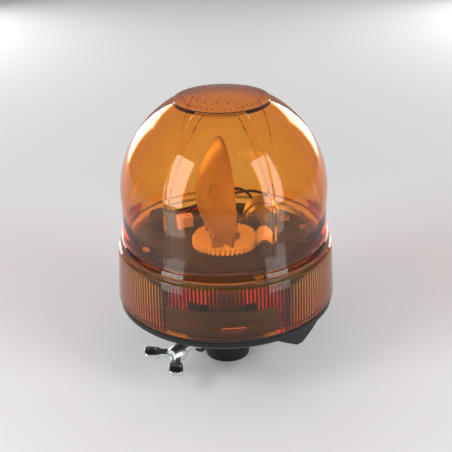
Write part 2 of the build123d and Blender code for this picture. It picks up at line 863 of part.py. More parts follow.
with BuildPart() as motor_shaft:
    with BuildSketch(drive_plane(bearing_start - fit_gap)):
        Circle(shaft_radius)
    extrude(amount=motor_start + motor_length / 3 - bearing_start)
motor_shaft.part.label = "motor_shaft"
export_step(motor_shaft.part, "parts/motor_shaft.step")

with BuildPart() as worm_bearing:
    with BuildSketch(drive_plane(bearing_start)):
        Circle(worm_bed - fit_gap)
        with Locations((0, foot_low)):
            Rectangle(2 * worm_bed, 2 * worm_bed, align=(Align.CENTER, Align.MIN), mode=Mode.SUBTRACT)
        Circle(bearing_radius)
        Circle(shaft_radius + shaft_gap, mode=Mode.SUBTRACT)
    extrude(amount=bearing_thickness)
worm_bearing.part.label = "worm_bearing"
export_step(worm_bearing.part, "parts/worm_bearing.step")

# Worm: single right-hand thread, with a gap facing the wheel tooth at rest
thread_length = worm_turns * worm_lead
half_pitch = worm_lead / 4 - worm_thinning
half_root = half_pitch + (worm_pitch_radius - worm_root_radius) * tan(radians(flank_angle))
half_tip = half_pitch - module * tan(radians(flank_angle))
with BuildPart() as worm_thread:
    with BuildLine() as helix:
        Helix(worm_lead, thread_length, worm_pitch_radius, center=(0, 0, -thread_length / 2))
    with BuildSketch(Plane(origin=(0, 0, -thread_length / 2), x_dir=(1, 0, 0), z_dir=(0, -1, 0))):
        with BuildLine():
            Polyline(
                (worm_root_radius - tooth_sink, -half_root),
                (worm_tip_radius, -half_tip),
                (worm_tip_radius, half_tip),
                (worm_root_radius - tooth_sink, half_root),
                close=True,
            )
        make_face()
    sweep(path=helix.line, is_frenet=True)
    worm_half = thread_length / 2 + half_root
    with BuildSketch(Plane.XY.offset(-worm_half)):
        Circle(worm_root_radius)
    extrude(amount=2 * worm_half)
    with BuildSketch(Plane.XY.offset(-worm_half)):
        Circle(shaft_radius + shaft_gap / 2)
    extrude(amount=2 * worm_half, mode=Mode.SUBTRACT)
worm = drive_plane(0).location * worm_thread.part
worm.label = "worm"
export_step(worm, "parts/worm.step")

# Worm wheel: teeth leaned by the lead angle, a thinner web and a hub for the bush
bush_outer = post_radius + running_gap + bush_wall
tooth_half_pitch = worm_lead / 4 - tooth_thinning
tooth_slope = tan(radians(wheel_flank_angle))
tooth_foot = wheel_root_radius - tooth_sink
lean = radians(lead_angle)
tooth_plane = Plane(origin=(0, 0, drive_z), x_dir=(1, 0, 0), z_dir=(0, sin(lean), cos(lean)))
with BuildPart() as tooth:
    with BuildSketch(tooth_plane):
        with BuildLine():
            foot_half = tooth_half_pitch + (wheel_pitch_radius - tooth_foot) * tooth_slope
            tip_half = tooth_half_pitch - module * tooth_slope
            Polyline(
                (tooth_foot, -foot_half),
                (wheel_tip_radius, -tip_half),
                (wheel_tip_radius, tip_half),
                (tooth_foot, foot_half),
                close=True,
            )
        make_face()
    extrude(amount=wheel_thickness, both=True)
    split(bisect_by=Plane.XY.offset(z_wheel), keep=Keep.TOP)
    split(bisect_by=Plane.XY.offset(z_wheel_top), keep=Keep.BOTTOM)

web_inner = bush_outer + hub_wall
web_outer = wheel_root_radius - rim_wall
with BuildPart() as worm_wheel:
    with BuildSketch(Plane.XY.offset(z_wheel)):
        Circle(wheel_root_radius)
    extrude(amount=wheel_thickness)
    with PolarLocations(0, wheel_teeth):
        add(tooth.part)
    add(ring(web_inner, web_outer, z_wheel, z_wheel + web_recess), mode=Mode.SUBTRACT)
    with BuildSketch(Plane.XY.offset(z_wheel)):
        Circle(bush_outer + shaft_gap / 2)
    extrude(amount=wheel_thickness, mode=Mode.SUBTRACT)
worm_wheel.part.label = "worm_wheel"
foot_x = (foot_back + foot_front) / 2
foot_circle = hypot(foot_x, foot_y)
foot_angle = degrees(atan(foot_y / foot_x))
foot_azimuths = [beam_azimuth + 180 - foot_angle, beam_azimuth + 180 + foot_angle]
z_web = z_wheel + web_recess

with BuildPart() as drilled_wheel:
    add(worm_wheel.part)
    with BuildSketch(Plane.XY.offset(z_wheel_top)):
        with Locations([polar(foot_circle, azimuth) for azimuth in foot_azimuths]):
            Circle(foot_screw_radius + screw_gap)
    extrude(amount=-wheel_thickness, mode=Mode.SUBTRACT)
drilled_wheel.part.label = "worm_wheel"
export_step(drilled_wheel.part, "parts/worm_wheel.step")

with BuildPart() as rotor_bush:
    add(ring(post_radius + running_gap, bush_outer, z_wheel, z_wheel_top))
rotor_bush.part.label = "rotor_bush"
export_step(rotor_bush.part, "parts/rotor_bush.step")

# Reflector: parabolic dish seen from behind in the photograph, on two screwed feet
beam_plane = meridian(beam_azimuth)
beam_axis = Axis((0, 0, beam_height), beam_plane.x_dir)
dish_radius = 2 * focal_length
outer_radius = dish_radius + sqrt(2) * dish_wall
outer_depth = focal_length + dish_wall
z_dish_floor = z_wheel_top + dish_floor_gap

with BuildPart() as beam_space:
    with BuildSketch(beam_plane):
        with BuildLine():
            bowl = Bezier(
                (-focal_length, beam_height),
                (-focal_length, beam_height + focal_length),
                (0, beam_height + dish_radius),
            )
            Polyline(bowl @ 1, (0, beam_height), bowl @ 0)
        make_face()
    revolve(axis=beam_axis)

with BuildPart() as reflector:
    with BuildSketch(beam_plane):
        with BuildLine():
            shell = Bezier(
                (-outer_depth, beam_height),
                (-outer_depth, beam_height + outer_radius - outer_depth),
                (0, beam_height + outer_radius),
            )
            Polyline(shell @ 1, (0, beam_height), shell @ 0)
        make_face()
        with Locations((-lip_depth / 2, beam_height + dish_radius)):
            Rectangle(lip_depth, outer_radius + lip_width - dish_radius, align=(Align.CENTER, Align.MIN))
    revolve(axis=beam_axis)
    with BuildSketch(beam_plane):
        with Locations((-focal_length, beam_height + mark_radius)):
            Rectangle(dish_wall + mark_proud, mark_width, align=(Align.MAX, Align.MAX))
    revolve(axis=beam_axis)
    split(bisect_by=Plane.XY.offset(z_dish_floor), keep=Keep.TOP)
    for side in (foot_y, -foot_y):
        with BuildSketch(beam_plane.offset(side)):
            with BuildLine():
                Polyline(
                    (-foot_back, z_wheel_top),
                    (-foot_front, z_wheel_top),
                    (-foot_front, z_wheel_top + foot_height),
                    (-foot_back + foot_front, z_wheel_top + foot_height),
                    (-foot_back, z_wheel_top + foot_height / 3),
                    close=True,
                )
            make_face()
        extrude(amount=foot_width / 2, both=True)
    add(beam_space.part, mode=Mode.SUBTRACT)
    with BuildSketch(Plane.XY.offset(z_wheel_top)):
        Circle(post_radius + post_clearance)
    extrude(amount=post_height + cup_height, mode=Mode.SUBTRACT)
    with BuildSketch(Plane.XY.offset(z_wheel_top)):
        with Locations([polar(foot_circle, azimuth) for azimuth in foot_azimuths]):
            Circle(foot_screw_radius + screw_gap)
    extrude(amount=foot_screw_length - wheel_thickness + web_recess + screw_gap, mode=Mode.SUBTRACT)
reflector.part.label = "reflector"
export_step(reflector.part, "parts/reflector.step")

with BuildPart() as reflector_screws:
    for azimuth in foot_azimuths:
        under = Plane(origin=polar(foot_circle, azimuth, z_web), x_dir=(1, 0, 0), z_dir=(0, 0, -1))
        add(screw(under, foot_screw_radius, foot_screw_length))
reflector_screws.part.label = "reflector_screws"
export_step(reflector_screws.part, "parts/reflector_screws.step")

# Retaining ring: open ring in the post's groove that keeps the wheel down
ring_inner = post_radius - ring_depth + shaft_gap
with BuildPart() as retaining_ring:
    add(ring(ring_inner, post_radius + ring_reach, z_ring, z_ring + ring_thickness))
    with BuildSketch(Plane.XY.offset(z_ring)):
        Rectangle(2 * post_radius, ring_reach, align=(Align.MIN, Align.CENTER))
    extrude(amount=ring_thickness, mode=Mode.SUBTRACT)
retaining_ring.part.label = "retaining_ring"
export_step(retaining_ring.part, "parts/retaining_ring.step")

# Lamp: bayonet cup on the post, lamp base with two pins, glass and filament
cup_inner = lamp_base_radius + lamp_gap
cup_outer = cup_inner + cup_wall
pin_z = z_lamp + lamp_pin_height
pin_room = lamp_pin_radius + lamp_gap
pin_angle = degrees(pin_room / cup_inner)
pin_azimuths = [90, 270]

with BuildPart() as lamp_holder:
    with BuildSketch(Plane.XY.offset(z_post)):
        Circle(cup_outer)
    extrude(amount=cup_height)
    with BuildSketch(Plane.XY.offset(z_lamp)):
        Circle(cup_inner)
    extrude(amount=cup_height, mode=Mode.SUBTRACT)
    with BuildSketch(Plane.XY.offset(z_post)):
        Circle(post_bore_radius - shaft_gap)
    extrude(amount=-cup_stem)
    with BuildSketch(Plane.XY.offset(z_post - cup_stem)):
        Circle(lamp_contact_radius + shaft_gap)
    extrude(amount=cup_stem + cup_floor, mode=Mode.SUBTRACT)
    for azimuth in pin_azimuths:
        start = azimuth - pin_angle
        end = azimuth + lamp_twist + pin_angle
        reach = cup_outer + cup_wall
        add(sector(lamp_base_radius, reach, start, end, pin_z - pin_room, pin_z + pin_room), mode=Mode.SUBTRACT)
        add(sector(lamp_base_radius, reach, end - 2 * pin_angle, end, pin_z, z_cup), mode=Mode.SUBTRACT)
lamp_holder.part.label = "lamp_holder"
export_step(lamp_holder.part, "parts/lamp_holder.step")

with BuildPart() as lamp_contact:
    with BuildSketch(Plane.XY.offset(z_post - cup_stem)):
        Circle(lamp_contact_radius)
    extrude(amount=cup_stem + cup_floor)
lamp_contact.part.label = "lamp_contact"
export_step(lamp_contact.part, "parts/lamp_contact.step")

with BuildPart() as lamp_base:
    with BuildSketch(Plane.XY.offset(z_lamp + fit_gap)):
        Circle(lamp_base_radius)
    extrude(amount=lamp_base_height - fit_gap)
    chamfer(lamp_base.edges().group_by(Axis.Z)[0], lamp_base_chamfer)
    for azimuth in pin_azimuths:
        pin_plane = Plane(origin=(0, 0, pin_z), x_dir=(0, 0, 1), z_dir=polar(1, azimuth))
        with BuildSketch(pin_plane):
            Circle(lamp_pin_radius)
        extrude(amount=lamp_base_radius + lamp_pin_reach)
lamp_base.part.label = "lamp_base"
export_step(lamp_base.part, "parts/lamp_base.step")

with BuildPart() as lamp_glass:
    for radius, mode in ((glass_radius, Mode.ADD), (glass_radius - glass_wall, Mode.SUBTRACT)):
        with BuildSketch(Plane.XZ):
            with BuildLine():
                z_dome_start = z_glass + glass_height - glass_radius
                tip = CenterArc((0, z_dome_start), radius, 0, 90)
                Polyline(tip @ 1, (0, z_glass), (radius, z_glass), tip @ 0)
            make_face()
        revolve(axis=Axis.Z, mode=mode)
lamp_glass.part.label = "lamp_glass"
export_step(lamp_glass.part, "parts/lamp_glass.step")

with BuildPart() as lamp_filament:
    with BuildSketch(Plane.XY.offset(z_glass)):
        with Locations((-filament_length / 2, 0), (filament_length / 2, 0)):
            Circle(filament_support_radius)
    extrude(amount=filament_height)
    with BuildSketch(Plane(origin=(0, 0, z_glass + filament_height), x_dir=(0, 1, 0), z_dir=(1, 0, 0))):
        Circle(filament_radius)
    extrude(amount=filament_length / 2 + filament_support_radius, both=True)
lamp_filament.part.label = "lamp_filament"
export_step(lamp_filament.part, "parts/lamp_filament.step")

# Electrical parts on the plate
with BuildPart() as suppressor:
    with BuildSketch(Plane.XY.offset(z_plate)):
        with Locations((suppressor_x, suppressor_y)):
            Circle(suppressor_radius)
    extrude(amount=suppressor_height)
    fillet(suppressor.edges().group_by(Axis.Z)[-1], suppressor_round)
    with BuildSketch(Plane.XY.offset(z_plate + suppressor_height)):
        with Locations((suppressor_x, suppressor_y)):
            Circle(suppressor_lid_radius)
    extrude(amount=-suppressor_lid_sunk, mode=Mode.SUBTRACT)
suppressor.part.label = "suppressor"
export_step(suppressor.part, "parts/suppressor.step")

block_plane = Plane(origin=(block_x, block_y, z_plate), x_dir=polar(1, block_turn), z_dir=(0, 0, 1))
well_radius = block_width / 4
with BuildPart() as terminal_block:
    with BuildSketch(block_plane):
        RectangleRounded(block_length, block_width, block_round)
    extrude(amount=block_height)
    with BuildSketch(block_plane.offset(block_height)):
        with GridLocations(block_length / 2, 0, 2, 1):
            Circle(well_radius)
    extrude(amount=-block_height / 2, mode=Mode.SUBTRACT)
terminal_block.part.label = "terminal_block"
export_step(terminal_block.part, "parts/terminal_block.step")

with BuildPart() as terminal_screws:
    with BuildSketch(block_plane.offset(block_height / 2)):
        with GridLocations(block_length / 2, 0, 2, 1):
            Circle(well_radius - fit_gap)
    extrude(amount=block_height / 3)
    with BuildSketch(block_plane.offset(block_height / 2 + block_height / 3)):
        with GridLocations(block_length / 2, 0, 2, 1):
            Rectangle(2 * well_radius, slot_width / 2)
    extrude(amount=-slot_depth, mode=Mode.SUBTRACT)
terminal_screws.part.label = "terminal_screws"
export_step(terminal_screws.part, "parts/terminal_screws.step")

with BuildPart() as cable_grommet:
    with BuildSketch(Plane.XY.offset(z_drum - grommet_lip)):
        with Locations((grommet_x, grommet_y)):
            Circle(grommet_radius + grommet_lip)
    extrude(amount=plate_thickness + 2 * grommet_lip)
    with BuildSketch(Plane.XY.offset(z_drum)):
        with Locations((grommet_x, grommet_y)):
            Circle(grommet_radius + 2 * grommet_lip)
            Circle(grommet_radius - shaft_gap, mode=Mode.SUBTRACT)
    extrude(amount=plate_thickness, mode=Mode.SUBTRACT)
    with BuildSketch(Plane.XY.offset(z_drum - grommet_lip)):
        with Locations((grommet_x, grommet_y)):
            Circle(grommet_radius / 2)
    extrude(amount=plate_thickness + 2 * grommet_lip, mode=Mode.SUBTRACT)
cable_grommet.part.label = "cable_grommet"
export_step(cable_grommet.part, "parts/cable_grommet.step")

# Wires, held at both ends inside the light. Their routes are chosen points.
terminal_y = drive_end + terminal_reach / 2
terminal_z = drive_z + terminal_width * 3 / 2 + fit_gap
riser_z = terminal_z + wire_riser
motor_lead = wire(
    [
        (drive_x - terminal_offset, terminal_y, terminal_z),
        (drive_x - terminal_offset, terminal_y, riser_z),
        (12.0, 51.5, 102.0),
        (0.0, 49.5, 101.5),
        (-11.0, 46.0, 98.0),
        (-20.0, 43.5, 93.0),
        (-28.6, 38.0, 88.0),
        (-26.75, 32.6, 88.0),
    ]
)
motor_lead.label = "motor_lead"
export_step(motor_lead, "parts/motor_lead.step")

suppressor_lead = wire(
    [
        (drive_x + terminal_offset, terminal_y, terminal_z),
        (drive_x + terminal_offset, terminal_y, riser_z),
        (20.0, 54.5, 99.0),
        (7.0, 55.5, 96.0),
        (-8.0, 55.0, 91.5),
        (-21.0, 51.0, 89.0),
        (-31.0, 45.0, 88.5),
        (-37.8, 38.0, 88.5),
    ]
)
suppressor_lead.label = "suppressor_lead"
export_step(suppressor_lead, "parts/suppressor_lead.step")

feed_wire = wire(
    [
        (-5.8, 0.0, z_holder_top + fit_gap),
        (-6.0, 1.0, 50.0),
        (-8.0, 10.0, 58.5),
        (-10.5, 24.0, 62.5),
        (-12.5, 36.5, 66.0),
        (-13.0, 44.0, 74.0),
        (-13.0, 44.3, 87.0),
        (-17.0, 44.3, 89.5),
        (-27.5, 43.0, 88.5),
        (-34.6, 37.0, 87.5),
        (-31.92, 30.72, 87.5),
    ]
)
feed_wire.label = "feed_wire"
export_step(feed_wire, "parts/feed_wire.step")

lamp_wire = wire(
    [
        (0.0, 0.0, z_post - cup_stem - fit_gap),
        (0.0, 0.5, 77.0),
        (-2.5, 9.0, 71.0),
        (-6.0, 23.0, 70.0),
        (-9.5, 35.0, 71.0),
        (-11.0, 43.6, 77.0),
        (-11.0, 43.8, 86.5),
        (-13.0, 39.5, 88.8),
        (-17.5, 33.0, 88.0),
        (-22.6, 30.0, 87.0),
    ]
)
lamp_wire.label = "lamp_wire"
export_step(lamp_wire, "parts/lamp_wire.step")
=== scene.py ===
import enum
import logging
import math
from collections.abc import Sequence
from dataclasses import dataclass, field

import bmesh
import bpy
from mathutils import Matrix, Vector


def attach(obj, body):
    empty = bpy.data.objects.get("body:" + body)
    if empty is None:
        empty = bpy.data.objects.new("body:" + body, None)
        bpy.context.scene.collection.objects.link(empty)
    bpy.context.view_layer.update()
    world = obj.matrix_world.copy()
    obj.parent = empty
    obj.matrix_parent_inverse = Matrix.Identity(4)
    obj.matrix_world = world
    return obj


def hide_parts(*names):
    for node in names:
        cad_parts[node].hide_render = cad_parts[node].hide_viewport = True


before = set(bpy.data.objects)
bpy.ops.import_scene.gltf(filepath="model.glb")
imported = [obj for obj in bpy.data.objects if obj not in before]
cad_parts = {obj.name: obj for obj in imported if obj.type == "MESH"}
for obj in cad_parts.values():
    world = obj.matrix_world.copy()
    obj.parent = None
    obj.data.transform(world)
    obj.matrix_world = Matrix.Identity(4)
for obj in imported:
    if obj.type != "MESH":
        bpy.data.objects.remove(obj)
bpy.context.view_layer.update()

log = logging.getLogger("beacon")

MM = 0.001
FULL_TURN = 2 * math.pi

Colour = tuple[float, float, float]
Point2 = tuple[float, float]


def at(radius: float, azimuth: float, height: float = 0.0) -> Vector:
    """Point in metres at a radius, an azimuth in degrees and a height, sizes in millimetres.

    Args:
        radius: distance from the axis of the light.
        azimuth: angle round the axis from +X.
        height: height above the socket's mouth.

    Returns:
        The point in the row frame.
    """
    turn = math.radians(azimuth)
    return Vector((radius * math.cos(turn), radius * math.sin(turn), height)) * MM


class Signal:
    """A shader socket that takes part in sums, products and comparisons."""

    def __init__(self, sheet: "NodeSheet", socket: bpy.types.NodeSocket) -> None:
        """Keeps the socket and the sheet that it lies on."""
        self.sheet = sheet
        self.socket = socket

    def _maths(self, operation: str, *terms: "Signal | float") -> "Signal":
        """Adds one Math node.

        Args:
            operation: name of the Math node's operation.
            terms: what goes into its inputs, in order.

        Returns:
            The node's result.
        """
        return self.sheet.node("ShaderNodeMath", {"operation": operation}, dict(enumerate(terms)))

    def __add__(self, other: "Signal | float") -> "Signal":
        """Sum."""
        return self._maths("ADD", self, other)

    __radd__ = __add__

    def __sub__(self, other: "Signal | float") -> "Signal":
        """Difference."""
        return self._maths("SUBTRACT", self, other)

    def __rsub__(self, other: "Signal | float") -> "Signal":
        """Difference with this signal taken away."""
        return self._maths("SUBTRACT", other, self)

    def __mul__(self, other: "Signal | float") -> "Signal":
        """Product."""
        return self._maths("MULTIPLY", self, other)

    __rmul__ = __mul__

    def __truediv__(self, other: "Signal | float") -> "Signal":
        """Quotient."""
        return self._maths("DIVIDE", self, other)

    def __gt__(self, other: "Signal | float") -> "Signal":
        """One where this signal is the greater, and nothing elsewhere."""
        return self._maths("GREATER_THAN", self, other)

    def between(self, low: float, high: float) -> "Signal":
        """Rises smoothly from nothing at low to one at high."""
        settings = {"interpolation_type": "SMOOTHSTEP"}
        return self.sheet.node("ShaderNodeMapRange", settings, {"Value": self, "From Min": low, "From Max": high})

    def sine(self) -> "Signal":
        """Sine of the signal in radians."""
        return self._maths("SINE", self)


class NodeSheet:
    """The node tree of one material."""

    def __init__(self, title: str) -> None:
        """Starts an empty tree with its output node."""
        self.material = bpy.data.materials.new(title)
        self.material.use_nodes = True
        self.tree = self.material.node_tree
        self.tree.nodes.clear()
        self.output = self.tree.nodes.new("ShaderNodeOutputMaterial")

    def node(self, kind: str, settings: dict | None = None, inputs: dict | None = None, out: int | str = 0) -> Signal:
        """Adds a node.

        Args:
            kind: the node's type.
            settings: its properties, or stops for a colour ramp, which are set first.
            inputs: value or signal for each input, by name or place.
            out: name or place of the output that is wanted.

        Returns:
            That output.
        """
        made = self.tree.nodes.new(kind)
        for name, value in (settings or {}).items():
            if name == "stops":
                self._set_stops(made.color_ramp, value)
            else:
                setattr(made, name, value)
        for key, value in (inputs or {}).items():
            self.feed(made.inputs[key], value)
        return Signal(self, made.outputs[out])

    @staticmethod
    def _set_stops(ramp: bpy.types.ColorRamp, stops: Sequence[tuple[float, Colour]]) -> None:
        """Gives a ramp its places and colours."""
        while len(ramp.elements) < len(stops):
            ramp.elements.new(1.0)
        for element, (place, colour) in zip(ramp.elements, stops):
            element.position = place
            element.color = (*colour, 1.0)

    def feed(self, socket: bpy.types.NodeSocket, value: "Signal | float | Sequence[float]") -> None:
        """Links a signal to a socket, or writes a constant on it."""
        if isinstance(value, Signal):
            self.tree.links.new(value.socket, socket)
        elif socket.type == "RGBA" and len(value) == 3:
            socket.default_value = (*value, 1.0)
        else:
            socket.default_value = value

    def place(self, stretch: Sequence[float] = (1.0, 1.0, 1.0)) -> Signal:
        """Object coordinates, scaled along each axis."""
        here = self.node("ShaderNodeTexCoord", out="Object")
        return self.node("ShaderNodeMapping", inputs={"Vector": here, "Scale": stretch})

    def noise(self, scale: float, detail: float = 3.0, rough: float = 0.5, where: Signal | None = None) -> Signal:
        """Noise from nothing to one, with scale counted per metre."""
        inputs = {"Vector": where or self.place(), "Scale": scale, "Detail": detail, "Roughness": rough}
        return self.node("ShaderNodeTexNoise", inputs=inputs)

    def mix(self, share: "Signal | float", first: "Signal | Colour", second: "Signal | Colour") -> Signal:
        """Colour between two colours."""
        return self.node("ShaderNodeMix", {"data_type": "RGBA"}, {0: share, 6: first, 7: second}, out=2)

    def bump(self, height: Signal, depth: float, strength: float = 1.0, under: Signal | None = None) -> Signal:
        """Normal bent by a height, with its depth in metres."""
        inputs = {"Height": height, "Distance": depth, "Strength": strength}
        if under is not None:
            inputs["Normal"] = under
        return self.node("ShaderNodeBump", inputs=inputs)

    def axes(self) -> tuple[Signal, Signal, Signal]:
        """The three Object coordinates, each as a number in metres."""
        split = self.node("ShaderNodeSeparateXYZ", inputs={0: self.place()})
        outputs = split.socket.node.outputs
        return Signal(self, outputs[0]), Signal(self, outputs[1]), Signal(self, outputs[2])

    def surface(self, inputs: dict[str, object]) -> Signal:
        """A Principled surface on the output.

        Args:
            inputs: values and signals by the shader's own names.

        Returns:
            The shader, already linked to the output.
        """
        shader = self.node("ShaderNodeBsdfPrincipled", inputs=inputs)
        self.feed(self.output.inputs["Surface"], shader)
        return shader

    def let_light_pass(self, shader: Signal, tint: Colour) -> None:
        """Makes a surface cast a tinted shadow that lamps shine through.

        Args:
            shader: the surface as the camera sees it.
            tint: colour of the light that passes.
        """
        is_shadow = self.node("ShaderNodeLightPath", out="Is Shadow Ray")
        passing = self.node("ShaderNodeBsdfTransparent", inputs={"Color": tint})
        both = self.node("ShaderNodeMixShader", inputs={0: is_shadow, 1: shader, 2: passing})
        self.feed(self.output.inputs["Surface"], both)


def shade(colour: Colour, factor: float) -> Colour:
    """A colour made darker or lighter, kept at or under one."""
    return tuple(min(1.0, part * factor) for part in colour)


@dataclass(frozen=True)
class Moulded:
    """Moulded plastic with mould grain, flow marks and pale handling scuffs."""

    title: str
    colour: Colour
    roughness: float = 0.45
    grain: float = 1800.0
    grain_depth: float = 0.00004
    scuffs: float = 0.25
    sheen: float = 0.5

    def lay(self, sheet: NodeSheet) -> None:
        """Writes the finish on a sheet."""
        flow = sheet.noise(38.0, 4.0, 0.55)
        speck = sheet.noise(420.0, 2.0)
        scuff = sheet.noise(150.0, 8.0, 0.7, sheet.place((1.0, 2.5, 1.0))).between(0.62, 0.74)
        body = sheet.mix(flow, shade(self.colour, 0.8), shade(self.colour, 1.22))
        worn = sheet.mix(scuff * self.scuffs, body, shade(self.colour, 2.2))
        normal = sheet.bump(sheet.noise(self.grain, 2.0), self.grain_depth, 0.6)
        sheet.surface({
            "Base Color": worn,
            "Roughness": self.roughness + (flow - 0.5) * 0.2 + scuff * 0.12 + (speck - 0.5) * 0.08,
            "Specular IOR Level": self.sheen,
            "Normal": normal,
        })


@dataclass(frozen=True)
class Plated:
    """Plated or drawn metal with fine draw lines, dull patches and small stains."""

    title: str
    colour: Colour
    roughness: float = 0.28
    draw: tuple[float, float, float] = (1.0, 1.0, 12.0)
    line_depth: float = 0.000012
    stain: Colour = (0.30, 0.28, 0.25)
    stain_share: float = 0.35

    def lay(self, sheet: NodeSheet) -> None:
        """Writes the finish on a sheet."""
        lines = sheet.noise(900.0, 3.0, 0.6, sheet.place(self.draw))
        patch = sheet.noise(120.0, 5.0, 0.6)
        stain = sheet.noise(260.0, 7.0, 0.7).between(0.58, 0.72)
        body = sheet.mix(patch, shade(self.colour, 0.85), shade(self.colour, 1.1))
        sheet.surface({
            "Base Color": sheet.mix(stain * self.stain_share, body, self.stain),
            "Metallic": 1.0,
            "Roughness": self.roughness + (patch - 0.5) * 0.22 + (lines - 0.5) * 0.1 + stain * 0.2,
            "Normal": sheet.bump(lines, self.line_depth, 0.5),
        })


@dataclass(frozen=True)
class Rubber:
    """Dull rubber with bloom and a fine skin."""

    title: str
    colour: Colour
    roughness: float = 0.78

    def lay(self, sheet: NodeSheet) -> None:
        """Writes the finish on a sheet."""
        bloom = sheet.noise(95.0, 6.0, 0.65)
        sheet.surface({
            "Base Color": sheet.mix(bloom.between(0.45, 0.8), self.colour, shade(self.colour, 2.4)),
            "Roughness": self.roughness + (bloom - 0.5) * 0.15,
            "Normal": sheet.bump(sheet.noise(2400.0, 2.0), 0.00005, 0.7),
        })


@dataclass(frozen=True)
class TintedShade:
    """Clear tinted plastic that light passes: colour grows with the thickness it crosses."""

    title: str
    tint: Colour = (0.995, 0.70, 0.02)
    density: float = 620.0
    ior: float = 1.49
    ripple: float = 0.00009

    def lay(self, sheet: NodeSheet) -> None:
        """Writes the finish on a sheet, with a shadow that lamps shine through."""
        wave = sheet.noise(26.0, 2.0, 0.4)
        haze = sheet.noise(60.0, 6.0, 0.7)
        rub = sheet.noise(700.0, 3.0, 0.6, sheet.place((1.0, 1.0, 6.0))).between(0.60, 0.72)
        shader = sheet.surface({
            "Base Color": sheet.mix(haze, (1.0, 0.965, 0.90), (1.0, 0.99, 0.95)),
            "Roughness": 0.012 + haze * 0.02 + rub * 0.035,
            "IOR": self.ior,
            "Transmission Weight": 1.0,
            "Normal": sheet.bump(wave, self.ripple, 0.5),
        })
        sheet.let_light_pass(shader, (0.97, 0.74, 0.42))
        soak = sheet.node("ShaderNodeVolumeAbsorption", inputs={"Color": self.tint, "Density": self.density})
        sheet.feed(sheet.output.inputs["Volume"], soak)


@dataclass(frozen=True)
class LampGlass:
    """Thin clear glass with a faint draw line and a smoky spot."""

    title: str

    def lay(self, sheet: NodeSheet) -> None:
        """Writes the finish on a sheet."""
        smoke = sheet.noise(140.0, 4.0, 0.6)
        shader = sheet.surface({
            "Base Color": sheet.mix(smoke.between(0.5, 0.8), (1.0, 1.0, 1.0), (0.90, 0.90, 0.88)),
            "Roughness": 0.01 + smoke * 0.03,
            "IOR": 1.5,
            "Transmission Weight": 1.0,
            "Normal": sheet.bump(sheet.noise(90.0, 1.0), 0.00004, 0.4),
        })
        sheet.let_light_pass(shader, (0.96, 0.96, 0.96))


@dataclass(frozen=True)
class Jacket:
    """Extruded wire jacket with a soft shine and light marks."""

    title: str
    colour: Colour

    def lay(self, sheet: NodeSheet) -> None:
        """Writes the finish on a sheet."""
        mark = sheet.noise(330.0, 5.0, 0.6)
        sheet.surface({
            "Base Color": sheet.mix(mark, shade(self.colour, 0.75), shade(self.colour, 1.3)),
            "Roughness": 0.32 + (mark - 0.5) * 0.25,
            "Normal": sheet.bump(mark, 0.00004, 0.5),
        })


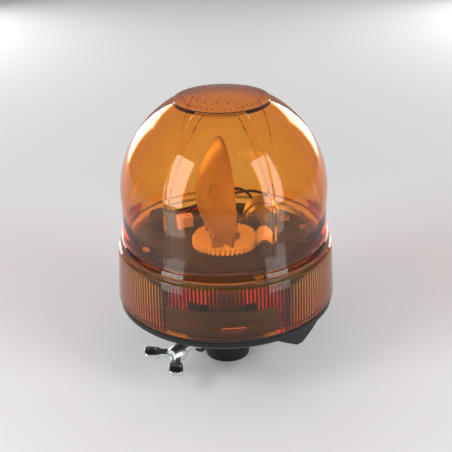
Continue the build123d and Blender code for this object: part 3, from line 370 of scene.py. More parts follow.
class Finishes(enum.Enum):
    """Every finish on the light, each made once."""

    SHADE = TintedShade("amber_shade")
    HOUSING = Moulded("housing_black", (0.006, 0.009, 0.008), 0.40, 1500.0, 0.00007, 0.12, 0.35)
    SOCKET = Moulded("socket_black", (0.006, 0.008, 0.008), 0.38, 2000.0, 0.00004, 0.12, 0.35)
    DECK = Moulded("deck_black_green", (0.012, 0.018, 0.015), 0.45, 1300.0, 0.00005, 0.12, 0.3)
    BEARING = Moulded("bearing_black", (0.030, 0.030, 0.032), 0.35)
    NYLON = Moulded("natural_nylon", (0.80, 0.76, 0.64), 0.38, 1100.0, 0.00003, 0.1)
    WORM = Moulded("white_acetal", (0.82, 0.81, 0.76), 0.28, 1200.0, 0.00002, 0.08)
    BLOCK = Moulded("cream_block", (0.80, 0.73, 0.56), 0.42, 1400.0, 0.00003, 0.15)
    CAP = Moulded("motor_cap_white", (0.74, 0.73, 0.68), 0.4)
    PHENOLIC = Moulded("brown_phenolic", (0.11, 0.055, 0.03), 0.36, 900.0, 0.00003, 0.2)
    CAN_BLACK = Moulded("suppressor_black", (0.012, 0.012, 0.013), 0.22, 800.0, 0.00002, 0.1)
    DISH_BACK = Moulded("dish_back", (0.30, 0.25, 0.19), 0.34, 700.0, 0.00005, 0.2)
    BOWL = Plated("bright_bowl", (0.93, 0.93, 0.94), 0.05, (1.0, 1.0, 1.0), 0.000004, (0.8, 0.8, 0.8), 0.1)
    SCREW = Plated("plated_screw", (0.66, 0.66, 0.67), 0.26)
    ZINC = Plated("zinc_wing", (0.70, 0.73, 0.71), 0.34, (1.0, 1.0, 1.0), 0.00002, (0.42, 0.42, 0.38), 0.4)
    # Darker copy of the wing zinc for the bottoms of the wings' sunk faces: painted shade in the recesses.
    WING_WELL_PAINTED_SHADE = Plated("zinc_well_painted_shade", (0.16, 0.19, 0.18), 0.42, (1.0, 1.0, 1.0), 0.00003)
    SPRING = Plated("spring_wire", (0.52, 0.52, 0.54), 0.3)
    CAN = Plated("motor_can_plate", (0.60, 0.59, 0.57), 0.3, (1.0, 10.0, 1.0), 0.00001)
    STRAP = Plated("strap_plate", (0.56, 0.55, 0.53), 0.33, (8.0, 1.0, 1.0))
    HOLDER = Plated("nickel_cup", (0.72, 0.71, 0.68), 0.22)
    BRASS = Plated("turned_brass", (0.80, 0.62, 0.30), 0.25, (1.0, 1.0, 14.0), 0.00001, (0.34, 0.22, 0.10), 0.4)
    BRONZE = Plated("sintered_bronze", (0.60, 0.42, 0.24), 0.42, (1.0, 1.0, 1.0), 0.00004, (0.3, 0.2, 0.12), 0.4)
    COPPER = Plated("bare_copper", (0.80, 0.42, 0.26), 0.32)
    SOLDER = Plated("solder_bead", (0.66, 0.66, 0.65), 0.3, (1.0, 1.0, 1.0), 0.00005)
    TUNGSTEN = Plated("tungsten", (0.36, 0.36, 0.37), 0.4)
    CLEAR = LampGlass("lamp_clear")
    RUBBER = Rubber("gasket_black", (0.015, 0.015, 0.015))
    GROMMET = Rubber("grommet_grey", (0.03, 0.03, 0.032), 0.6)
    BLACK_WIRE = Jacket("black_jacket", (0.014, 0.013, 0.013))
    RED_WIRE = Jacket("red_jacket", (0.42, 0.03, 0.02))
    BROWN_WIRE = Jacket("brown_jacket", (0.12, 0.045, 0.02))

    def material(self) -> bpy.types.Material:
        """The finish's material, made at its first use."""
        known = bpy.data.materials.get(self.value.title)
        if known is None:
            sheet = NodeSheet(self.value.title)
            self.value.lay(sheet)
            known = sheet.material
        return known


@dataclass(frozen=True)
class Place:
    """Where a finished piece belongs: its body, its record slot and the CAD nodes it stands for."""

    body: str
    slot: str
    stands_for: tuple[str, ...] = ()


def settle(mesh: bpy.types.Mesh, name: str, finish: Finishes, place: Place, crease: float = 32.0) -> bpy.types.Object:
    """Makes an object of a mesh and sets it on the frame.

    Args:
        mesh: the finished mesh, in metres in the row frame.
        name: the piece's name.
        finish: what it is made of.
        place: what it rides on and stands for.
        crease: edges sharper than this many degrees stay sharp.

    Returns:
        The piece.
    """
    mesh.name = name
    mesh.materials.clear()
    mesh.materials.append(finish.material())
    mesh.shade_smooth()
    mesh.set_sharp_from_angle(angle=math.radians(crease))
    piece = bpy.data.objects.new(name, mesh)
    bpy.context.scene.collection.objects.link(piece)
    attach(piece, place.body)
    if place.stands_for:
        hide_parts(*place.stands_for)
    log.info("piece %s: %d faces on %s", name, len(mesh.polygons), place.body)
    return piece


def cast(bm: bmesh.types.BMesh, outward: bool = True) -> bpy.types.Mesh:
    """Turns a bmesh into a mesh with its doubles merged and its faces outwards.

    Args:
        bm: the shape, which is freed.
        outward: whether to work out which way the faces point.

    Returns:
        The mesh.
    """
    bmesh.ops.remove_doubles(bm, verts=bm.verts, dist=0.002 * MM)
    if outward:
        bmesh.ops.recalc_face_normals(bm, faces=bm.faces)
    mesh = bpy.data.meshes.new("cast")
    bm.to_mesh(mesh)
    bm.free()
    return mesh


def turned(bm: bmesh.types.BMesh, profile: Sequence[Point2], steps: int, matrix: Matrix = Matrix()) -> None:
    """Spins a closed profile into a ring or a solid of revolution.

    Args:
        bm: where the shape is added.
        profile: radius and height of each corner in millimetres, in order round the profile.
        steps: how many steps make the full turn.
        matrix: where the shape's own axis +Z goes.
    """
    corners = [bm.verts.new(Vector((radius, 0.0, height)) * MM) for radius, height in profile]
    edges = [bm.edges.new(pair) for pair in zip(corners, corners[1:])]
    on_axis = profile[0][0] == 0.0 and profile[-1][0] == 0.0
    if not on_axis:
        edges.append(bm.edges.new((corners[-1], corners[0])))
    before = set(bm.verts) - set(corners)
    bmesh.ops.spin(
        bm, geom=corners + edges, cent=(0, 0, 0), axis=(0, 0, 1), dvec=(0, 0, 0),
        angle=FULL_TURN, steps=steps, use_merge=True, use_duplicate=False,
    )
    fresh = [vert for vert in bm.verts if vert not in before]
    bmesh.ops.remove_doubles(bm, verts=fresh, dist=0.002 * MM)
    fresh = [vert for vert in bm.verts if vert not in before]
    bmesh.ops.transform(bm, matrix=matrix, verts=fresh)


def slab(
    bm: bmesh.types.BMesh, outline: Sequence[Point2], thickness: float, matrix: Matrix, round_by: float = 0.0
) -> None:
    """Extrudes a flat outline both ways from its plane, with its rims rounded.

    Args:
        bm: where the shape is added.
        outline: corners in millimetres.
        thickness: whole thickness in millimetres.
        matrix: where the outline's plane goes.
        round_by: radius of the rounded rims, or nothing for sharp ones.
    """
    before = set(bm.verts)
    corners = [bm.verts.new(Vector((x, y, -thickness / 2)) * MM) for x, y in outline]
    face = bm.faces.new(corners)
    grown = bmesh.ops.extrude_face_region(bm, geom=[face])["geom"]
    tops = [item for item in grown if isinstance(item, bmesh.types.BMVert)]
    bmesh.ops.translate(bm, verts=tops, vec=(0, 0, thickness * MM))
    fresh = [vert for vert in bm.verts if vert not in before]
    if round_by:
        edges = {edge for vert in fresh for edge in vert.link_edges if len(edge.link_faces) == 2}
        rims = [edge for edge in edges if edge.calc_face_angle() > math.radians(50)]
        bmesh.ops.bevel(
            bm, geom=rims, offset=round_by * MM, segments=3, profile=0.5, affect="EDGES", material=-1,
            clamp_overlap=True,
        )
        fresh = [vert for vert in bm.verts if vert not in before]
    bmesh.ops.transform(bm, matrix=matrix, verts=fresh)


def oblong(length: float, width: float) -> list[Point2]:
    """Corners of an oblong about the middle, in millimetres."""
    x, y = length / 2, width / 2
    return [(-x, -y), (x, -y), (x, y), (-x, y)]


def basis(origin: Vector, along: Vector, normal: Vector) -> Matrix:
    """Matrix whose X is along, whose Z is normal and whose place is origin, in metres."""
    x = along.normalized()
    z = normal.normalized()
    y = z.cross(x)
    return Matrix.Translation(origin) @ Matrix((x, y, z)).transposed().to_4x4()


def cut(mesh: bpy.types.Mesh, *tools: bpy.types.Mesh) -> bpy.types.Mesh:
    """Takes closed tool meshes away from a closed mesh.

    Args:
        mesh: what is cut.
        tools: what is taken away, each freed afterwards.

    Returns:
        The cut mesh.
    """
    scene = bpy.context.scene
    work = bpy.data.objects.new("cut_work", mesh)
    scene.collection.objects.link(work)
    helpers = []
    for tool in tools:
        helper = bpy.data.objects.new("cut_tool", tool)
        scene.collection.objects.link(helper)
        modifier = work.modifiers.new("cut", "BOOLEAN")
        modifier.operation = "DIFFERENCE"
        modifier.solver = "EXACT"
        modifier.object = helper
        helpers.append(helper)
    graph = bpy.context.evaluated_depsgraph_get()
    result = bpy.data.meshes.new_from_object(work.evaluated_get(graph))
    for thing in (work, *helpers):
        bpy.data.objects.remove(thing)
    return result


@dataclass
class AmberShade:
    """The lens: a dome on a stepped neck and a fluted skirt, with a raised panel and a top disc."""

    wall: float = 2.5
    disc_radius: float = 30.0
    dome_radius: float = 66.8
    dome_height: float = 124.3
    cap_rise: float = 3.4
    disc_step: float = 0.6
    flute_root: float = 69.2
    flute_depth: float = 0.7
    flute_count: int = 180
    flute_top: float = 86.0
    window_top: float = 71.6
    panel: tuple[float, float] = (-32.0, 27.0)
    panel_proud: float = 0.4
    steps: int = 720
    arc_steps: int = 34
    place: Place = Place("shade", "amber_lens", ("lens",))

    def outside(self) -> list[Point2]:
        """Outer half section from the rim up to the centre of the top."""
        side = [
            (72.5, 53.0), (70.9, 81.0), (70.6, 86.4), (70.3, 87.3), (69.4, 88.0), (68.8, 88.5), (68.6, 89.2),
            (68.6, 90.4), (68.8, 91.1), (69.1, 91.6), (68.8, 92.4), (68.1, 94.0), (67.2, 94.6), (67.0, 95.2),
            (66.7, 101.3), (66.2, 102.5), (66.4, 113.0),
        ]
        edge = math.acos(self.disc_radius / self.dome_radius)
        dome = self.arc(self.dome_radius, edge)
        rim_height = dome[-1][1] + self.disc_step
        return side + dome + self.cap(rim_height, self.cap_rise, 0.0)

    def inside(self) -> list[Point2]:
        """Inner half section from the centre of the top down to the rim."""
        radius = self.dome_radius - self.wall
        edge = math.acos(self.disc_radius / radius)
        dome = self.arc(radius, edge)
        rim_height = self.dome_height + math.sqrt(self.dome_radius**2 - self.disc_radius**2)
        top = self.cap(rim_height, self.cap_rise, self.wall)
        side = [
            (69.2, 53.0), (69.2, 71.4), (69.2, 71.6), (69.2, 86.0), (65.6, 90.4), (65.6, 92.8), (63.7, 95.2),
            (63.7, 102.5), (64.0, 113.0),
        ]
        return list(reversed(side + dome + top))

    def arc(self, radius: float, end: float) -> list[Point2]:
        """Corners along an arc about the dome's centre, from its level up to an angle in radians."""
        turns = [end * i / self.arc_steps for i in range(self.arc_steps + 1)]
        return [(radius * math.cos(turn), self.dome_height + radius * math.sin(turn)) for turn in turns]

    def cap(self, rim_height: float, rise: float, inset: float) -> list[Point2]:
        """Corners along the shallow cap over the top disc."""
        radius = (self.disc_radius**2 + rise**2) / (2 * rise)
        centre = rim_height + rise - radius
        inner = radius - inset
        widest = math.asin(self.disc_radius / inner)
        turns = [widest * (1 - i / 10) for i in range(11)]
        return [(inner * math.sin(turn), centre + inner * math.cos(turn)) for turn in turns]

    def in_panel(self, azimuth: float, shrink: float = 0.0) -> bool:
        """Whether an azimuth lies in the front or the back panel, less a margin in degrees."""
        for middle in (-90.0, 90.0):
            turn = (azimuth - middle + 180.0) % 360.0 - 180.0
            if self.panel[0] + shrink <= turn <= self.panel[1] - shrink:
                return True
        return False

    def carve(self, bm: bmesh.types.BMesh) -> None:
        """Raises the panels and presses the flutes into the spun shell.

        Args:
            bm: the spun shell.
        """
        pitch = 360.0 / self.flute_count
        barrel = 102.0
        for vert in bm.verts:
            x, y, z = vert.co / MM
            radius = math.hypot(x, y)
            azimuth = math.degrees(math.atan2(y, x))
            out = Vector((x, y, 0.0)).normalized() if radius else Vector()
            if abs(radius - self.flute_root) < 0.05 and z < self.flute_top + 0.1:
                if z < self.window_top - 0.1 and self.in_panel(azimuth):
                    continue
                wave = abs((azimuth / pitch) % 1.0 - 0.5) * 2.0
                vert.co -= out * self.flute_depth * (1.0 - wave) * MM
            elif z > barrel and radius > self.disc_radius + 0.3:
                rise = max(0.0, z - self.dome_height)
                centre = Vector((0.0, 0.0, self.dome_height)) if rise else Vector((0.0, 0.0, z))
                arm = Vector((x, y, z)) - centre
                outer = arm.length > self.dome_radius - self.wall / 2 - (0.4 if rise == 0.0 else 0.0)
                shrink = 0.0 if outer else 1.2 + 9.0 * (rise / 60.0) ** 2
                if self.in_panel(azimuth, shrink):
                    vert.co += arm.normalized() * self.panel_proud * MM

    def shell(self) -> bpy.types.Object:
        """Builds the moulded shell.

        Returns:
            The piece that stands for the lens.
        """
        bm = bmesh.new()
        turned(bm, self.inside() + self.outside()[:-1] + [(0.0, self.outside()[-1][1])], self.steps)
        self.carve(bm)
        return settle(cast(bm), "shade_shell", Finishes.SHADE, self.place, 30.0)

    def marks(self) -> bpy.types.Object:
        """Raised strokes in a ring round the top disc, and a ring of dots inside it."""
        bm = bmesh.new()
        top = self.outside()[-1][1]
        sphere = (self.disc_radius**2 + self.cap_rise**2) / (2 * self.cap_rise)
        for radius, count, length, width in ((25.2, 44, 3.6, 0.8), (18.4, 16, 1.4, 1.4)):
            height = top - sphere + math.sqrt(sphere**2 - radius**2)
            for i in range(count):
                azimuth = 360.0 * (i + 0.5) / count
                out = at(1.0, azimuth) / MM
                normal = (out * radius + Vector((0, 0, math.sqrt(sphere**2 - radius**2)))).normalized()
                along = normal.cross(Vector((-out.y, out.x, 0.0))) * -1.0
                matrix = basis(at(radius, azimuth, height - 0.28), along, normal)
                slab(bm, oblong(length, width), 0.7, matrix, 0.18)
        return settle(cast(bm), "shade_marks", Finishes.SHADE, Place("shade", "amber_lens"))

    def lugs(self) -> bpy.types.Object:
        """The two bayonet lugs inside the rim."""
        bm = bmesh.new()
        for middle in (-90.0, 90.0):
            self.lug(bm, middle - 2.5, middle + 9.5)
        return settle(cast(bm), "shade_lugs", Finishes.SHADE, Place("shade", "amber_lens"))

    def lug(self, bm: bmesh.types.BMesh, start: float, end: float) -> None:
        """Adds one lug between two azimuths."""
        corners = [(66.6, 57.0), (69.0, 57.0), (69.0, 59.8), (66.6, 59.8)]
        verts = [bm.verts.new(at(radius, start, height)) for radius, height in corners]
        face = bm.faces.new(verts)
        bmesh.ops.spin(
            bm, geom=[face], cent=(0, 0, 0), axis=(0, 0, 1), dvec=(0, 0, 0), angle=math.radians(end - start),
            steps=10, use_merge=False, use_duplicate=False,
        )

    def build(self) -> None:
        """Makes every piece of the shade."""
        self.shell()
        self.marks()
        self.lugs()


@dataclass
class DishReflector:
    """The parabolic dish with its bright bowl, its two feet and a plain ring mark behind."""

    focal: float = 17.5
    beam_height: float = 120.0
    beam_azimuth: float = 11.0
    wall: float = 1.3
    skin: float = 0.3
    lip_reach: float = 37.44
    lip_depth: float = 1.6
    floor_height: float = 94.0
    post_room: float = 11.0
    mark_reach: float = 24.0
    mark_angle: float = 152.0
    mark_radius: float = 4.9
    steps: int = 144
    arc_steps: int = 22
    place: Place = Place("rotor", "reflector_chrome")

    @property
    def beam(self) -> Matrix:
        """Matrix that puts a spun shape's axis along the beam, through the beam's height."""
        direction = at(1.0, self.beam_azimuth) / MM
        side = Vector((-direction.y, direction.x, 0.0))
        return basis(Vector((0, 0, self.beam_height * MM)), side, direction)

    def curve(self, back: float) -> list[Point2]:
        """Parabola from the axis to the rim, moved back along the beam."""
        rim = 2 * self.focal
        radii = [rim * i / self.arc_steps for i in range(self.arc_steps + 1)]
        return [(radius, radius**2 / (4 * self.focal) - self.focal - back) for radius in radii]

    def hollow(self, radius: float, low: float, high: float) -> bpy.types.Mesh:
        """Closed upright cylinder that is taken away from the dish."""
        bm = bmesh.new()
        turned(bm, [(0.0, low), (radius, low), (radius, high), (0.0, high)], 64)
        return cast(bm)

    def trimmed(self, profile: list[Point2]) -> bpy.types.Mesh:
        """Spins a profile about the beam and cuts the floor and the lamp's room out of it."""
        bm = bmesh.new()
        turned(bm, profile, self.steps, self.beam)
        shell = cast(bm)
        return cut(shell, self.hollow(60.0, 60.0, self.floor_height), self.hollow(self.post_room, 80.0, 112.0))

    def build(self) -> None:
        """Makes every piece of the dish."""
        rim = 2 * self.focal
        bowl = self.curve(0.0) + list(reversed(self.curve(self.skin)))
        settle(self.trimmed(bowl), "dish_bowl", Finishes.BOWL, self.place)
        gap = self.skin + 0.05
        outer_rim = rim + math.sqrt(2.0) * self.wall
        back = [
            (radius * outer_rim / rim, height + self.skin - self.wall)
            for radius, height in self.curve(0.0)
        ]
        lip = [(self.lip_reach, -0.02), (self.lip_reach, -self.lip_depth), (outer_rim - 0.9, -self.lip_depth)]
        curve_back = [point for point in reversed(back) if point[1] < -self.lip_depth - 0.4]
        profile = self.curve(gap) + [(rim, -0.02)] + lip + curve_back
        settle(
            self.trimmed(profile), "dish_back", Finishes.DISH_BACK, Place("rotor", "reflector_chrome", ("reflector",))
        )
        self.mark()
        self.feet()

    def mark(self) -> None:
        """Plain raised ring on the flank of the dish's back, with a dot in it."""
        radius = self.mark_reach
        sag = radius**2 / (4 * self.focal) - self.focal
        slope = math.hypot(1.0, radius / (2 * self.focal))
        turn = math.radians(self.mark_angle)
        across = Vector((math.cos(turn), math.sin(turn), 0.0))
        outward = (across * (radius / (2 * self.focal)) - Vector((0, 0, 1))) / slope
        spot = across * radius * MM + Vector((0, 0, sag * MM)) + outward * (self.wall - 0.25) * MM
        along = Vector((-across.y, across.x, 0.0))
        matrix = self.beam @ basis(spot, along, outward)
        bm = bmesh.new()
        size = self.mark_radius
        ring = [
            (size, -0.4), (size, 0.7), (size - 0.25, 0.85), (size - 0.6, 0.85), (size - 0.8, 0.7), (size - 0.8, -0.4),
        ]
        turned(bm, ring, 64, matrix)
        turned(bm, [(0.0, -0.3), (1.6, -0.3), (1.6, 0.6), (1.3, 0.75), (0.0, 0.75)], 32, matrix)
        settle(cast(bm), "dish_mark", Finishes.DISH_BACK, self.place)

    def feet(self) -> None:
        """The two feet that are screwed to the wheel."""
        bm = bmesh.new()
        direction = at(1.0, self.beam_azimuth) / MM
        side = Vector((-direction.y, direction.x, 0.0))
        outline = [(-11.5, 89.5), (-4.0, 89.5), (-4.0, 92.0), (-5.6, 93.9), (-9.0, 98.6), (-10.2, 98.6), (-11.5, 96.0)]
        for offset in (13.0, -13.0):
            matrix = basis(side * offset * MM, direction, -side)
            slab(bm, outline, 6.0, matrix, 0.35)
        settle(cast(bm), "dish_feet", Finishes.DISH_BACK, self.place)


@dataclass
class WingScrew:
    """The clamp's wing screw: a cast hub, two leaned wings with sunk faces and a cut thread."""

    azimuth: float = 227.0
    height: float = 21.5
    hub_reach: float = 50.0
    hub_radius: float = 6.2
    hub_length: float = 9.0
    wing_reach: float = 21.0
    wing_width: float = 9.6
    wing_thickness: float = 3.0
    root_width: float = 6.0
    lean: float = 45.0
    turn: float = 9.0
    thread_radius: float = 4.0
    thread_pitch: float = 1.25
    thread_end: float = 16.1
    place: Place = Place("clamp_screw", "zinc")

    @property
    def axis(self) -> Vector:
        """Outward direction of the screw."""
        return at(1.0, self.azimuth) / MM

    def spot(self, reach: float) -> Vector:
        """Point on the screw's axis at a distance from the light's axis, in metres."""
        return self.axis * reach * MM + Vector((0, 0, self.height * MM))

    def hub(self) -> None:
        """The tapered hub with its rounded rims."""
        half = self.hub_length / 2
        taper = half * math.tan(math.radians(8.0))
        top = self.hub_radius - 2 * taper
        profile = [
            (0.0, -half), (self.hub_radius - 0.8, -half), (self.hub_radius - 0.2, -half + 0.25),
            (self.hub_radius, -half + 0.8), (top + 0.1, half - 0.9), (top - 0.25, half - 0.25),
            (top - 0.9, half), (2.2, half), (1.6, half - 0.5), (0.0, half - 0.5),
        ]
        bm = bmesh.new()
        turned(bm, profile, 48, basis(self.spot(self.hub_reach), Vector((0, 0, 1)), self.axis))
        settle(cast(bm), "wing_hub", Finishes.ZINC, Place("clamp_screw", "zinc", ("wing_screw",)))

    def blade_matrix(self, side: int) -> Matrix:
        """Matrix of one wing's middle plane, with its X along the wing."""
        level_x = Vector((math.sin(math.radians(self.azimuth)), -math.cos(math.radians(self.azimuth)), 0.0))
        turn = math.radians(self.turn)
        lean = math.radians(self.lean)
        level = (level_x * math.cos(turn) + Vector((0, 0, 1)) * math.sin(turn)) * side
        out = level * math.cos(lean) + self.axis * math.sin(lean)
        return basis(self.spot(self.hub_reach), out, level.cross(-self.axis))

    def outline(self, inset: float = 0.0) -> list[Point2]:
        """Rounded paddle outline of a wing, smaller by an inset."""
        half = self.wing_width / 2 - inset
        tip = self.wing_reach - inset
        start = self.wing_reach - self.wing_width + inset
        corner = self.wing_width / 3 - inset / 2
        points: list[Point2] = []
        for x, y, first in ((tip - corner, -half + corner, -90.0), (tip - corner, half - corner, 0.0)):
            for i in range(5):
                turn = math.radians(first + 22.5 * i)
                points.append((x + corner * math.cos(turn), y + corner * math.sin(turn)))
        if inset:
            return points + [(start + 1.0, half), (start, half - 1.0), (start, 1.0 - half), (start + 1.0, -half)]
        root = self.root_width / 2
        neck = [(start, half - 0.5), (start - 1.6, root), (3.0, root)]
        return points + neck + [(x, -y) for x, y in reversed(neck)]

    def wings(self) -> None:
        """The two wings, and the bottoms of their sunk faces in a darker copy of the wing zinc that is painted shade.
        """
        bodies = bmesh.new()
        painted_shade_floors = bmesh.new()
        tools = bmesh.new()
        for side in (1, -1):
            matrix = self.blade_matrix(side)
            slab(bodies, self.outline(), self.wing_thickness, matrix, 0.45)
            for face in (1.0, -1.0):
                offset = Matrix.Translation(Vector((0, 0, face * (self.wing_thickness / 2 - 0.2) * MM)))
                slab(tools, self.outline(1.3), 1.4, matrix @ offset)
            # These plates take the darker zinc, which is painted shade in the sunk faces.
            slab(painted_shade_floors, self.outline(1.35), self.wing_thickness - 1.8 + 0.08, matrix)
        settle(cut(cast(bodies), cast(tools)), "wing_blades", Finishes.ZINC, self.place)
        settle(cast(painted_shade_floors), "wing_wells_painted_shade", Finishes.WING_WELL_PAINTED_SHADE, self.place)

    def thread(self) -> None:
        """The screw's shank with its cut thread."""
        bm = bmesh.new()
        start = self.thread_end
        length = self.hub_reach - self.hub_length / 2 - start
        turns = int(length / self.thread_pitch)
        core = self.thread_radius - 0.75
        step = self.thread_pitch
        crest = self.thread_radius - 0.06
        tooth = [(core, 0.0), (core, 0.18 * step), (crest, 0.5 * step), (core, 0.82 * step), (core, step)]
        corners = [bm.verts.new(Vector((radius, 0.0, height)) * MM) for radius, height in tooth]
        edges = [bm.edges.new(pair) for pair in zip(corners, corners[1:])]
        bmesh.ops.spin(
            bm, geom=corners + edges, cent=(0, 0, 0), axis=(0, 0, 1), dvec=(0, 0, step * MM / 24),
            angle=FULL_TURN * (turns - 1), steps=24 * (turns - 1), use_merge=False, use_duplicate=False,
        )
        matrix = basis(self.spot(start), Vector((0, 0, 1)), self.axis)
        bmesh.ops.transform(bm, matrix=matrix, verts=bm.verts)
        turned(bm, [(0.0, 0.0), (core + 0.02, 0.0), (core + 0.02, length), (0.0, length)], 24, matrix)
        settle(cast(bm), "wing_thread", Finishes.ZINC, self.place)

    def build(self) -> None:
        """Makes every piece of the wing screw."""
        self.hub()
        self.wings()
        self.thread()


@dataclass
class SignalLamp:
    """The bayonet lamp's glass, filament and bead."""

    glass_base: float = 109.0
    glass_radius: float = 6.2
    glass_height: float = 25.0
    glass_wall: float = 0.6
    filament_height: float = 120.0
    filament_length: float = 5.0
    place: Place = Place("lamp", "lamp_clear")

    def glass(self) -> None:
        """Pear-shaped thin glass, closed below on the lamp's base."""
        outer = self.skin(0.0)
        inner = list(reversed(self.skin(self.glass_wall)))
        bm = bmesh.new()
        turned(bm, inner + outer, 64)
        settle(cast(bm), "lamp_bulb", Finishes.CLEAR, Place("lamp", "lamp_clear", ("lamp_glass",)))

    def skin(self, inset: float) -> list[Point2]:
        """Half section of one skin of the glass from its foot to its tip."""
        low = self.glass_base + 0.05
        waist = [
            (5.0 - inset, low), (5.0 - inset, low + 2.5), (5.6 - inset, low + 4.5), (6.2 - inset, low + 8.0),
        ]
        centre = self.glass_base + self.glass_height - self.glass_radius
        reach = self.glass_radius - inset
        turns = [math.pi / 2 * i / 12 for i in range(13)]
        dome = [(reach * math.cos(turn), centre + reach * math.sin(turn)) for turn in turns]
        dome[-1] = (0.0, dome[-1][1])
        return waist + dome

    def filament(self) -> None:
        """Coiled filament between two supports in a glass bead."""
        curve = bpy.data.curves.new("filament_line", "CURVE")
        curve.dimensions = "3D"
        curve.bevel_depth = 0.14 * MM
        curve.bevel_resolution = 2
        turns, per_turn = 11, 10
        spline = curve.splines.new("POLY")
        spline.points.add(turns * per_turn)
        for i, point in enumerate(spline.points):
            along = (i / (turns * per_turn) - 0.5) * self.filament_length
            angle = FULL_TURN * i / per_turn
            spot = Vector((along, 0.6 * math.cos(angle), self.filament_height + 0.6 * math.sin(angle))) * MM
            point.co = (*spot, 1.0)
        for side in (-1.0, 1.0):
            leg = curve.splines.new("POLY")
            leg.points.add(2)
            path = [(side * 1.4, 109.3), (side * 2.5, 113.5), (side * 2.5, 120.0)]
            for point, (x, z) in zip(leg.points, path):
                point.co = (x * MM, 0.0, z * MM, 1.0)
        holder = bpy.data.objects.new("filament_work", curve)
        bpy.context.scene.collection.objects.link(holder)
        graph = bpy.context.evaluated_depsgraph_get()
        mesh = bpy.data.meshes.new_from_object(holder.evaluated_get(graph))
        bpy.data.objects.remove(holder)
        settle(mesh, "lamp_coil", Finishes.TUNGSTEN, Place("lamp", "tungsten", ("lamp_filament",)), 60.0)

    def build(self) -> None:
        """Makes every piece of the lamp."""
        self.glass()
        self.filament()
        bm = bmesh.new()
        turned(bm, [(0.0, 112.4), (2.2, 112.6), (2.7, 113.4), (2.2, 114.2), (0.0, 114.4)], 24)
        settle(cast(bm), "lamp_bead", Finishes.CLEAR, self.place)


@dataclass
class DriveDetails:
    """Small pieces on the motor, the deck and the wires."""

    drive: tuple[float, float] = (26.0, 87.0)
    cap_end: float = 46.5
    cap_radius: float = 11.0
    rib_count: int = 12
    place: Place = Place("body", "cap_plastic")

    def motor_matrix(self, y: float) -> Matrix:
        """Matrix with its Z along the motor's axis at a distance along Y."""
        origin = Vector((self.drive[0], y, self.drive[1])) * MM
        return basis(origin, Vector((-1, 0, 0)), Vector((0, 1, 0)))

    def cap_ribs(self) -> None:
        """Moulded ribs and a rim on the motor's end cap."""
        bm = bmesh.new()
        matrix = self.motor_matrix(self.cap_end)
        turned(bm, [(9.6, -0.02), (10.5, -0.02), (10.5, 0.45), (10.3, 0.6), (9.8, 0.6), (9.6, 0.45)], 72, matrix)
        for i in range(self.rib_count):
            if i in (1, 2, 4, 5):
                continue
            turn = Matrix.Rotation(FULL_TURN * i / self.rib_count, 4, "Z")
            spot = Matrix.Translation(Vector((7.2, 0.0, 0.2)) * MM)
            slab(bm, oblong(4.4, 0.7), 0.44, matrix @ turn @ spot)
        settle(cast(bm), "cap_ribs", Finishes.CAP, self.place)

    def crimps(self) -> None:
        """Copper crimp sleeves at the wires' ends."""
        sleeves = bmesh.new()
        for x in (19.4, 32.6):
            matrix = basis(Vector((x, 48.25, 91.5)) * MM, Vector((1, 0, 0)), Vector((0, 0, 1)))
            turned(sleeves, [(0.95, 0.15), (1.35, 0.25), (1.35, 2.9), (0.95, 3.1)], 20, matrix)
        settle(cast(sleeves), "crimp_sleeves", Finishes.COPPER, Place("body", "brass"))

    def can_seams(self) -> None:
        """Two rolled seams round the motor can."""
        bm = bmesh.new()
        matrix = self.motor_matrix(0.0)
        for y in (26.4, 42.6):
            profile = [
                (11.7, y - 0.5), (12.0, y - 0.42), (12.18, y - 0.2),
                (12.18, y + 0.2), (12.0, y + 0.42), (11.7, y + 0.5),
            ]
            turned(bm, profile, 72, matrix)
        settle(cast(bm), "can_seams", Finishes.CAN, Place("body", "motor_steel"))

    def deck_ribs(self) -> None:
        """Shallow moulded ribs and ejector rings on the deck, clear of what stands on it."""
        bm = bmesh.new()
        for azimuth in (150.0, 165.0, 195.0, 210.0, 225.0, 240.0, 255.0, 285.0, 300.0, 315.0, 345.0, 0.0):
            out = at(1.0, azimuth) / MM
            matrix = basis(at(51.0, azimuth, 84.3), out, Vector((0, 0, 1)))
            slab(bm, oblong(20.0, 1.2), 0.7, matrix, 0.2)
        for azimuth in (172.0, 262.0, 322.0):
            spot = Matrix.Translation(at(34.0, azimuth, 84.0))
            turned(bm, [(2.6, -0.05), (3.0, -0.05), (3.0, 0.2), (2.6, 0.2)], 32, spot)
        settle(cast(bm), "deck_ribs", Finishes.DECK, Place("body", "plate_plastic"))

    def build(self) -> None:
        """Makes every small piece of the drive."""
        self.cap_ribs()
        self.crimps()
        self.can_seams()
        self.deck_ribs()


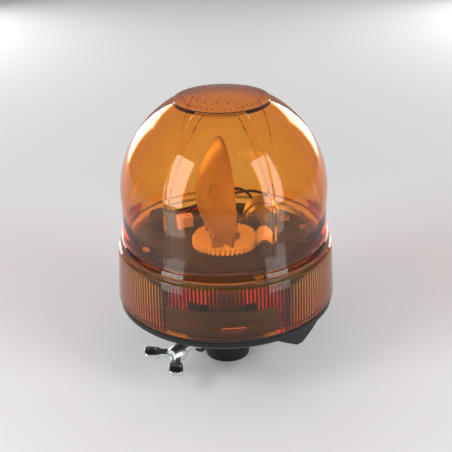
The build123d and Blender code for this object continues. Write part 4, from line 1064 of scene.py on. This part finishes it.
CAD_FINISHES: dict[Finishes, tuple[str, ...]] = {
    Finishes.HOUSING: ("base_housing",),
    Finishes.GROMMET: ("cable_grommet",),
    Finishes.DECK: ("chassis_plate",),
    Finishes.BRASS: (
        "clamp_insert", "clamp_pad", "contact_plunger", "earth_ring",
        "lamp_base", "lamp_contact", "motor_terminals", "terminal_screws",
    ),
    Finishes.PHENOLIC: ("contact_holder",),
    Finishes.SPRING: ("contact_spring", "retaining_ring"),
    Finishes.RED_WIRE: ("feed_wire",),
    Finishes.TUNGSTEN: ("lamp_filament",),
    Finishes.CLEAR: ("lamp_glass",),
    Finishes.HOLDER: ("lamp_holder",),
    Finishes.BROWN_WIRE: ("lamp_wire",),
    Finishes.SHADE: ("lens",),
    Finishes.RUBBER: ("lens_gasket",),
    Finishes.CAN: ("motor_can",),
    Finishes.CAP: ("motor_end_cap",),
    Finishes.BLACK_WIRE: ("motor_lead", "suppressor_lead"),
    Finishes.SCREW: ("motor_shaft", "plate_screws", "reflector_screws", "socket_screws", "strap_screws"),
    Finishes.STRAP: ("motor_strap",),
    Finishes.SOCKET: ("pole_socket",),
    Finishes.DISH_BACK: ("reflector",),
    Finishes.BRONZE: ("rotor_bush",),
    Finishes.CAN_BLACK: ("suppressor",),
    Finishes.BLOCK: ("terminal_block",),
    Finishes.ZINC: ("wing_screw",),
    Finishes.WORM: ("worm",),
    Finishes.BEARING: ("worm_bearing",),
    Finishes.NYLON: ("worm_wheel",),
}


def dress_cad_nodes() -> None:
    """Gives every CAD node its finish."""
    finish_of = {name: finish for finish, names in CAD_FINISHES.items() for name in names}
    for name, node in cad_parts.items():
        node.data.materials.clear()
        node.data.materials.append(finish_of[name].material())
    log.info("dressed %d CAD nodes", len(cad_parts))


@dataclass(frozen=True)
class Softbox:
    """One rectangular studio lamp that faces the light."""

    name: str
    azimuth: float
    elevation: float
    distance: float
    width: float
    height: float
    glow: float
    colour: Colour = (1.0, 0.99, 0.97)

    def hang(self, target: Vector) -> None:
        """Sets the lamp up.

        Args:
            target: the point that it faces.
        """
        lamp = bpy.data.lights.new(self.name, "AREA")
        lamp.shape = "RECTANGLE"
        lamp.size = self.width
        lamp.size_y = self.height
        lamp.energy = self.glow * math.pi * self.width * self.height
        lamp.color = self.colour
        holder = bpy.data.objects.new(self.name, lamp)
        bpy.context.scene.collection.objects.link(holder)
        turn, rise = math.radians(self.azimuth), math.radians(self.elevation)
        away = Vector((math.sin(turn) * math.cos(rise), -math.cos(turn) * math.cos(rise), math.sin(rise)))
        holder.location = target + away * self.distance
        holder.rotation_euler = away.to_track_quat("Z", "Y").to_euler()


@dataclass
class Studio:
    """Floor, backdrop, softboxes and the camera at the photograph's angle."""

    camera_spot: tuple[float, float, float] = (0.8, -538.1, 350.9)
    aim: tuple[float, float, float] = (0.8, 0.0, 96.5)
    lens: float = 71.7
    sensor: float = 36.0
    roll: float = -1.3
    backdrop: Colour = (0.86, 0.86, 0.875)
    ambient: float = 0.38
    softboxes: tuple[Softbox, ...] = field(default_factory=lambda: (
        Softbox("left_box", -55.0, 21.0, 1.10, 0.46, 0.95, 6.0),
        Softbox("right_box", 53.0, 21.0, 1.10, 0.46, 0.95, 4.8),
        Softbox("left_card", -50.0, -12.0, 0.30, 0.11, 0.10, 2.2),
        Softbox("right_card", 49.0, -12.0, 0.30, 0.11, 0.10, 1.8),
        Softbox("back_left_box", -146.0, 9.0, 1.25, 0.46, 0.60, 5.2),
        Softbox("back_right_box", 147.0, 9.0, 1.25, 0.42, 0.60, 4.8),
    ))

    def camera(self) -> None:
        """Places the camera that took the photograph."""
        data = bpy.data.cameras.new("photo_camera")
        data.lens = self.lens
        data.sensor_width = self.sensor
        data.clip_start = 0.01
        camera = bpy.data.objects.new("photo_camera", data)
        bpy.context.scene.collection.objects.link(camera)
        spot = Vector(self.camera_spot) * MM
        look = (Vector(self.aim) * MM - spot).to_track_quat("-Z", "Y").to_matrix()
        roll = Matrix.Rotation(math.radians(self.roll), 3, "Z")
        camera.location = spot
        camera.rotation_euler = (look @ roll).to_euler()
        bpy.context.scene.camera = camera

    def floor(self) -> None:
        """Pale floor that catches the object's shadow."""
        bm = bmesh.new()
        bmesh.ops.create_grid(bm, x_segments=2, y_segments=2, size=6.0)
        bmesh.ops.translate(bm, verts=bm.verts, vec=(0, 0, -0.0002))
        mesh = bpy.data.meshes.new("floor")
        bm.to_mesh(mesh)
        bm.free()
        plane = bpy.data.objects.new("floor", mesh)
        bpy.context.scene.collection.objects.link(plane)
        sheet = NodeSheet("floor_paper")
        cloud = sheet.noise(1.2, 2.0)
        sheet.surface({
            "Base Color": sheet.mix(cloud, shade(self.backdrop, 0.97), self.backdrop),
            "Roughness": 0.75 + cloud * 0.1,
            "Specular IOR Level": 0.1,
        })
        mesh.materials.append(sheet.material)

    def world(self) -> None:
        """Even pale surroundings that only add soft light, since the floor fills the view."""
        world = bpy.data.worlds.new("surroundings")
        bpy.context.scene.world = world
        world.use_nodes = True
        nodes, links = world.node_tree.nodes, world.node_tree.links
        nodes.clear()
        sky = nodes.new("ShaderNodeBackground")
        sky.inputs["Color"].default_value = (*self.backdrop, 1.0)
        sky.inputs["Strength"].default_value = self.ambient
        output = nodes.new("ShaderNodeOutputWorld")
        links.new(sky.outputs[0], output.inputs["Surface"])

    def build(self) -> None:
        """Sets up the whole studio."""
        self.camera()
        self.floor()
        self.world()
        for softbox in self.softboxes:
            softbox.hang(Vector((0, 0, 0.1)))
        bpy.context.scene.view_settings.view_transform = "Standard"


def main() -> None:
    """Builds the light's looks and the studio."""
    logging.basicConfig(level=logging.INFO, format="%(message)s")
    dress_cad_nodes()
    for part in (AmberShade(), DishReflector(), WingScrew(), SignalLamp(), DriveDetails()):
        part.build()
        log.info("built %s", type(part).__name__)
    Studio().build()


if __name__ == "__main__":
    main()
